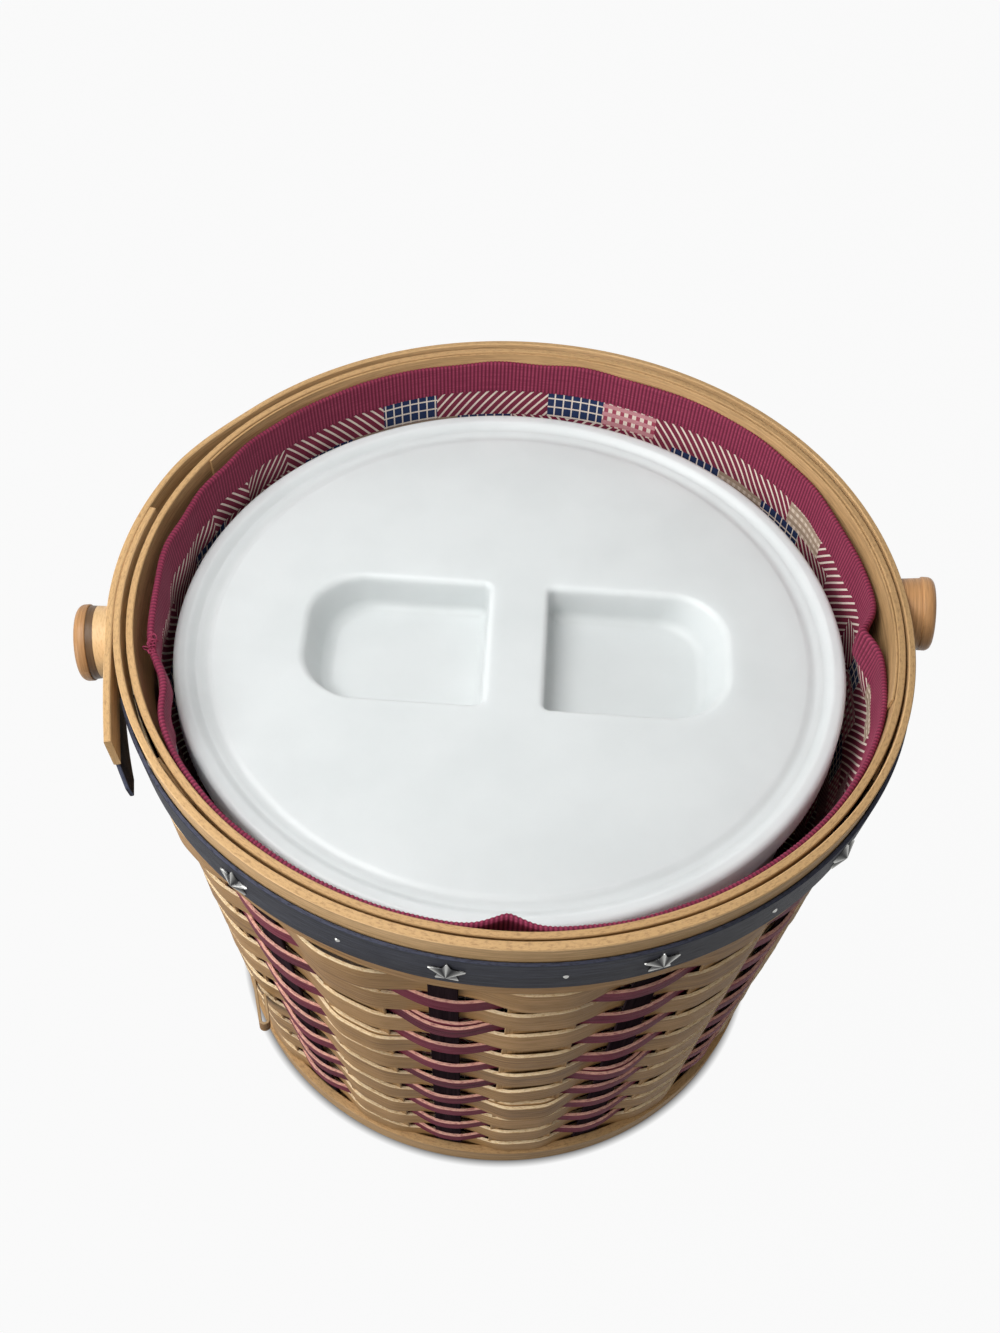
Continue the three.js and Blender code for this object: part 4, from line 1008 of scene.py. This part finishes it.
def half_plate(side, radius, level, grow, floor_level, top_round, floor_round):
    """Half of the lid's plate with its pocket: rows of loops from the edge of the half disc in to the
    pocket's rounded edge, down its wall, round the foot and in over its floor."""
    t = np.linspace(0, 1, 7)[:, None, None]
    moved = np.array([side, 1]) * POCKET_SHIFT
    rim = pocket_loop(grow + top_round, 0) + moved
    flat = half_edge(radius) * (1 - t) + rim * t
    deep = level - floor_level
    roll = np.radians(np.linspace(0, 90, 7))[1:]
    foot = np.radians(np.linspace(0, 90, 10))
    wall = np.linspace(top_round, deep - floor_round, 6)[1:-1]
    steps = [(top_round * (1 - np.sin(a)), top_round * (1 - np.cos(a))) for a in roll]
    steps += [(0, d) for d in wall]
    steps += [(-floor_round * (1 - np.cos(a)), deep - floor_round * (1 - np.sin(a))) for a in foot]
    loops = [(loop, 0) for loop in flat]
    loops += [(pocket_loop(grow + inset, depth * POCKET_DEPTH / deep) + moved, depth)
              for inset, depth in steps]
    rows = [table(*loop.T, level - depth) for loop, depth in loops]
    middle = rows[-1].mean(0)
    rows += [middle + (rows[-1] - middle) * share for share in (0.9, 0.5)]
    points = np.stack(rows) * (side, 1, 1)
    return grid_part(points, ring=False, caps=(-1,))


def lid_ring():
    """The lid outside its plate: groove, rounded lip, skirt and plug ring, as one profile from the plate's
    top edge over to the plate's underside."""
    t = np.linspace(0, 1, 13)
    groove = table(PLATE_RADIUS + GROOVE_WIDTH * t, PLATE_TOP - GROOVE_DEPTH * np.sin(np.pi * t) ** 2)
    share = 0.5 - 0.5 * np.cos(np.pi * np.linspace(0, 1, 41))
    rise = PLATE_TOP + (LID_TOP - PLATE_TOP) * smoothstep(share, 0, 0.5)
    over = np.clip(LIP_EDGE - LIP_WIDTH * (1 - share), 0, None)
    fall = LID_TOP - LIP_EDGE + np.sqrt(LIP_EDGE**2 - over**2)
    lip = table(PLATE_RADIUS + GROOVE_WIDTH + LIP_WIDTH * share, np.where(share < 0.5, rise, fall))
    foot = SKIRT_BOTTOM + SKIRT_ROUND
    outer_foot = arc((LID_RADIUS - SKIRT_ROUND, foot), SKIRT_ROUND, 0, -90, 6)
    inner_foot = arc((LID_RADIUS - SHELL + SKIRT_ROUND, foot), SKIRT_ROUND, -90, -180, 6)
    plug_foot = PLATE_BOTTOM - PLUG_HEIGHT
    bevel = plug_foot + PLUG_BEVEL
    under = [[LID_RADIUS - SHELL, PLATE_BOTTOM], [PLUG_RADIUS, PLATE_BOTTOM], [PLUG_RADIUS, bevel],
             [PLUG_RADIUS - PLUG_BEVEL, plug_foot], [UNDER_RADIUS + PLUG_BEVEL, plug_foot],
             [UNDER_RADIUS, bevel], [UNDER_RADIUS, PLATE_BOTTOM]]
    profile = np.concatenate([groove[:-1], lip, outer_foot, inner_foot, under])
    return turned_part(profile, 2 * HALF_TURN_STEPS, -np.pi / 2, caps=())


def add_lid():
    """The lid: its ring, and both halves of its plate above and below, turned and moved with the tub."""
    parts = [lid_ring()]
    floor = PLATE_TOP - POCKET_DEPTH
    for side in (-1, 1):
        parts.append(half_plate(side, PLATE_RADIUS, PLATE_TOP, 0, floor, top_round=2.2, floor_round=3.5))
        parts.append(half_plate(side, UNDER_RADIUS, PLATE_BOTTOM, POCKET_WALL, floor - POCKET_WALL,
                                top_round=0.8, floor_round=5.5))
    c, s = np.cos(LID_TURN), np.sin(LID_TURN)
    for part in parts:
        part["points"] = part["points"] @ np.array([[c, s, 0], [-s, c, 0], [0, 0, 1]]) + TUB_SHIFT
    add_piece("lid_moulding", parts, LID_PLASTIC, ["lid"], "lid", crisp=50, weld=True)


def add_tub():
    """The tub: one profile, up the outside, round the flange and down the inside, carried round the axis."""
    low, top = levels("tub")
    wall, mouth_bottom, flange_bottom = TUB_MOUTH + SHELL, top - PLUG_HEIGHT, top - FLANGE_HEIGHT
    foot, edge, deep = TUB_FOOT_ROUND, TUB_EDGE_ROUND, TUB_FLOOR_ROUND + SHELL
    outer, inner, brim = TUB_BASE_RADIUS - foot, TUB_BASE_RADIUS - deep, FLANGE_RADIUS - edge
    profile = np.concatenate([
        [[1, low], [outer, low]], arc((outer, low + foot), foot, -85, -5, 7),
        [[wall, mouth_bottom], [wall, flange_bottom]],
        arc((brim, flange_bottom + edge), edge, -90, 0, 5), arc((brim, top - edge), edge, 0, 90, 5),
        arc((TUB_MOUTH + edge, top - edge), edge, 90, 180, 5), [[TUB_MOUTH, mouth_bottom]],
        arc((inner, low + deep), TUB_FLOOR_ROUND, -5, -88, 8), [[1, low + SHELL]]])
    part = turned_part(profile, 180)
    part["points"] = part["points"] + TUB_SHIFT
    add_piece("tub_moulding", [part], TUB_PLASTIC, ["tub"], "tub")


# Stage, light and camera
CAMERA_PLACE = np.array([-62.25, -451.61, 730.43])
CAMERA_RIGHT = np.array([0.99622803, -0.07742602, 0.03917817])
CAMERA_UP = np.array([0.03431373, 0.76620438, 0.64168015])
FOCAL_PIXELS, FRAME_LONG_SIDE, SENSOR = 1875, 1333, 36
BASKET_MIDDLE = np.array([0, 0, 0.12])


def seen_ray(node):
    """1 on a ray that the camera or the metal sees by, and 0 on any other."""
    rays = [node("LightPath", output=kind) for kind in ("Is Camera Ray", "Is Glossy Ray")]
    return node("Math", rays, operation="MAXIMUM")


def aim(holder, right, up, place):
    """Puts a lamp or the camera at a place in metres, with its right and up directions."""
    axes = np.stack([right, up, np.cross(right, up)], 1)
    holder.matrix_world = Matrix(np.block([[axes, np.array(place)[:, None]], [0, 0, 0, 1]]).tolist())


def add_stage():
    """A wide sheet of pale paper. The camera and the metal see it part lit and part plain white, but not
    below the basket."""
    floor = bpy.data.meshes.new("floor")
    floor.from_pydata([(-4, -4, 0), (4, -4, 0), (4, 4, 0), (-4, 4, 0)], [], [(0, 1, 2, 3)])
    finish, node, shader = new_finish("pale paper")
    set_inputs(shader, {"Base Color": linear("#484848"), "Roughness": 0.9})
    place = node("TexCoord", output="Object")
    away = node("VectorMath", [place], "Value", operation="LENGTH")
    # The plain white fades in only just outside the basket's foot, which leaves a thin dark ring of the lit
    # grey floor there: a painted contact shadow over the floor's own shade.
    open_floor = node("MapRange", [away, 0.1105, 0.1145, 0.0, 0.95])
    share = node("Math", [seen_ray(node), open_floor], operation="MULTIPLY")
    white = node("Emission", {"Strength": 1.0})
    mixed = node("MixShader", [share, shader.outputs[0], white])
    set_inputs(finish.node_tree.nodes["Material Output"], {"Surface": mixed})
    floor.materials.append(finish)
    new_object("floor", floor)


def add_light(name, place, power, size):
    """A soft square lamp that faces the basket's middle."""
    lamp = bpy.data.lights.new(name, "AREA")
    lamp.energy, lamp.size = power, size
    back = np.array(place) - BASKET_MIDDLE
    back /= np.linalg.norm(back)
    right = np.cross([0, 0, 1], back)
    right /= np.linalg.norm(right)
    aim(new_object(name, lamp), right, np.cross(back, right), place)


def add_world():
    """A soft room, brighter at the left, where the window is. The camera and the metal see it plain white."""
    world = bpy.data.worlds.new("soft room")
    world.use_nodes = True
    node = partial(add_node, world.node_tree)
    side = node("SeparateXYZ", [node("TexCoord", output="Generated")], "X")
    room = node("MapRange", [side, -1.0, 1.0, 0.54, 0.26])
    strength = node("Mix", {0: seen_ray(node), 2: room, 3: 1.0}, data_type="FLOAT")
    set_inputs(world.node_tree.nodes["Background"], {"Color": (1, 1, 1, 1), "Strength": strength})
    bpy.context.scene.world = world


def add_camera():
    """The camera at the place, directions and focal length that were fitted to the photograph."""
    lens = bpy.data.cameras.new("camera")
    lens.sensor_width = SENSOR
    lens.lens = FOCAL_PIXELS / FRAME_LONG_SIDE * SENSOR
    lens.clip_start, lens.clip_end = 0.05, 50
    holder = new_object("camera", lens)
    aim(holder, CAMERA_RIGHT, CAMERA_UP, CAMERA_PLACE * MM)
    bpy.context.scene.camera = holder


bpy.context.scene.view_settings.view_transform = "Standard"
add_camera()
add_stage()
add_world()
add_light("key", (-0.32, -0.1, 0.74), 4.3, 0.5)
add_light("window", (-1.2, -0.6, 0.3), 8, 0.6)

add_uprights()
for i in range(10):
    add_row("natural", f"natural_weaver_{i + 1:02d}")
for i in range(9):
    add_row("burgundy", f"burgundy_weaver_{i + 1:02d}")
add_hoop("base_ring", "base_hoop", RIM_WOOD, offset=-1.75, thick=3.4)
add_hoop("top_ring", "top_hoop", NATURAL, offset=-1.7, thick=3.4)
add_inner_bands()
add_outer_band()
add_trim()
add_studs()
add_knob("right_knob", "knob_right", 0.0, span("knob_right")[1][0] - 3.2, seat=-2.4, head=5.2, bare_and_painted_light=0.0,
         swing=-9, dip=-2.5, drop=0.4)
add_knob("left_knob", "knob_left", np.pi, -span("knob_left")[0][0] - 1.4, seat=2.3, head=4.8, bare_and_painted_light=1.0,
         swing=-3, dip=5.5, drop=0.9)
add_ribbon(add_liner_bag())
add_ribbon_knot()
add_tub()
add_lid()
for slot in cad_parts["base_board"].material_slots:
    slot.material = BOARD
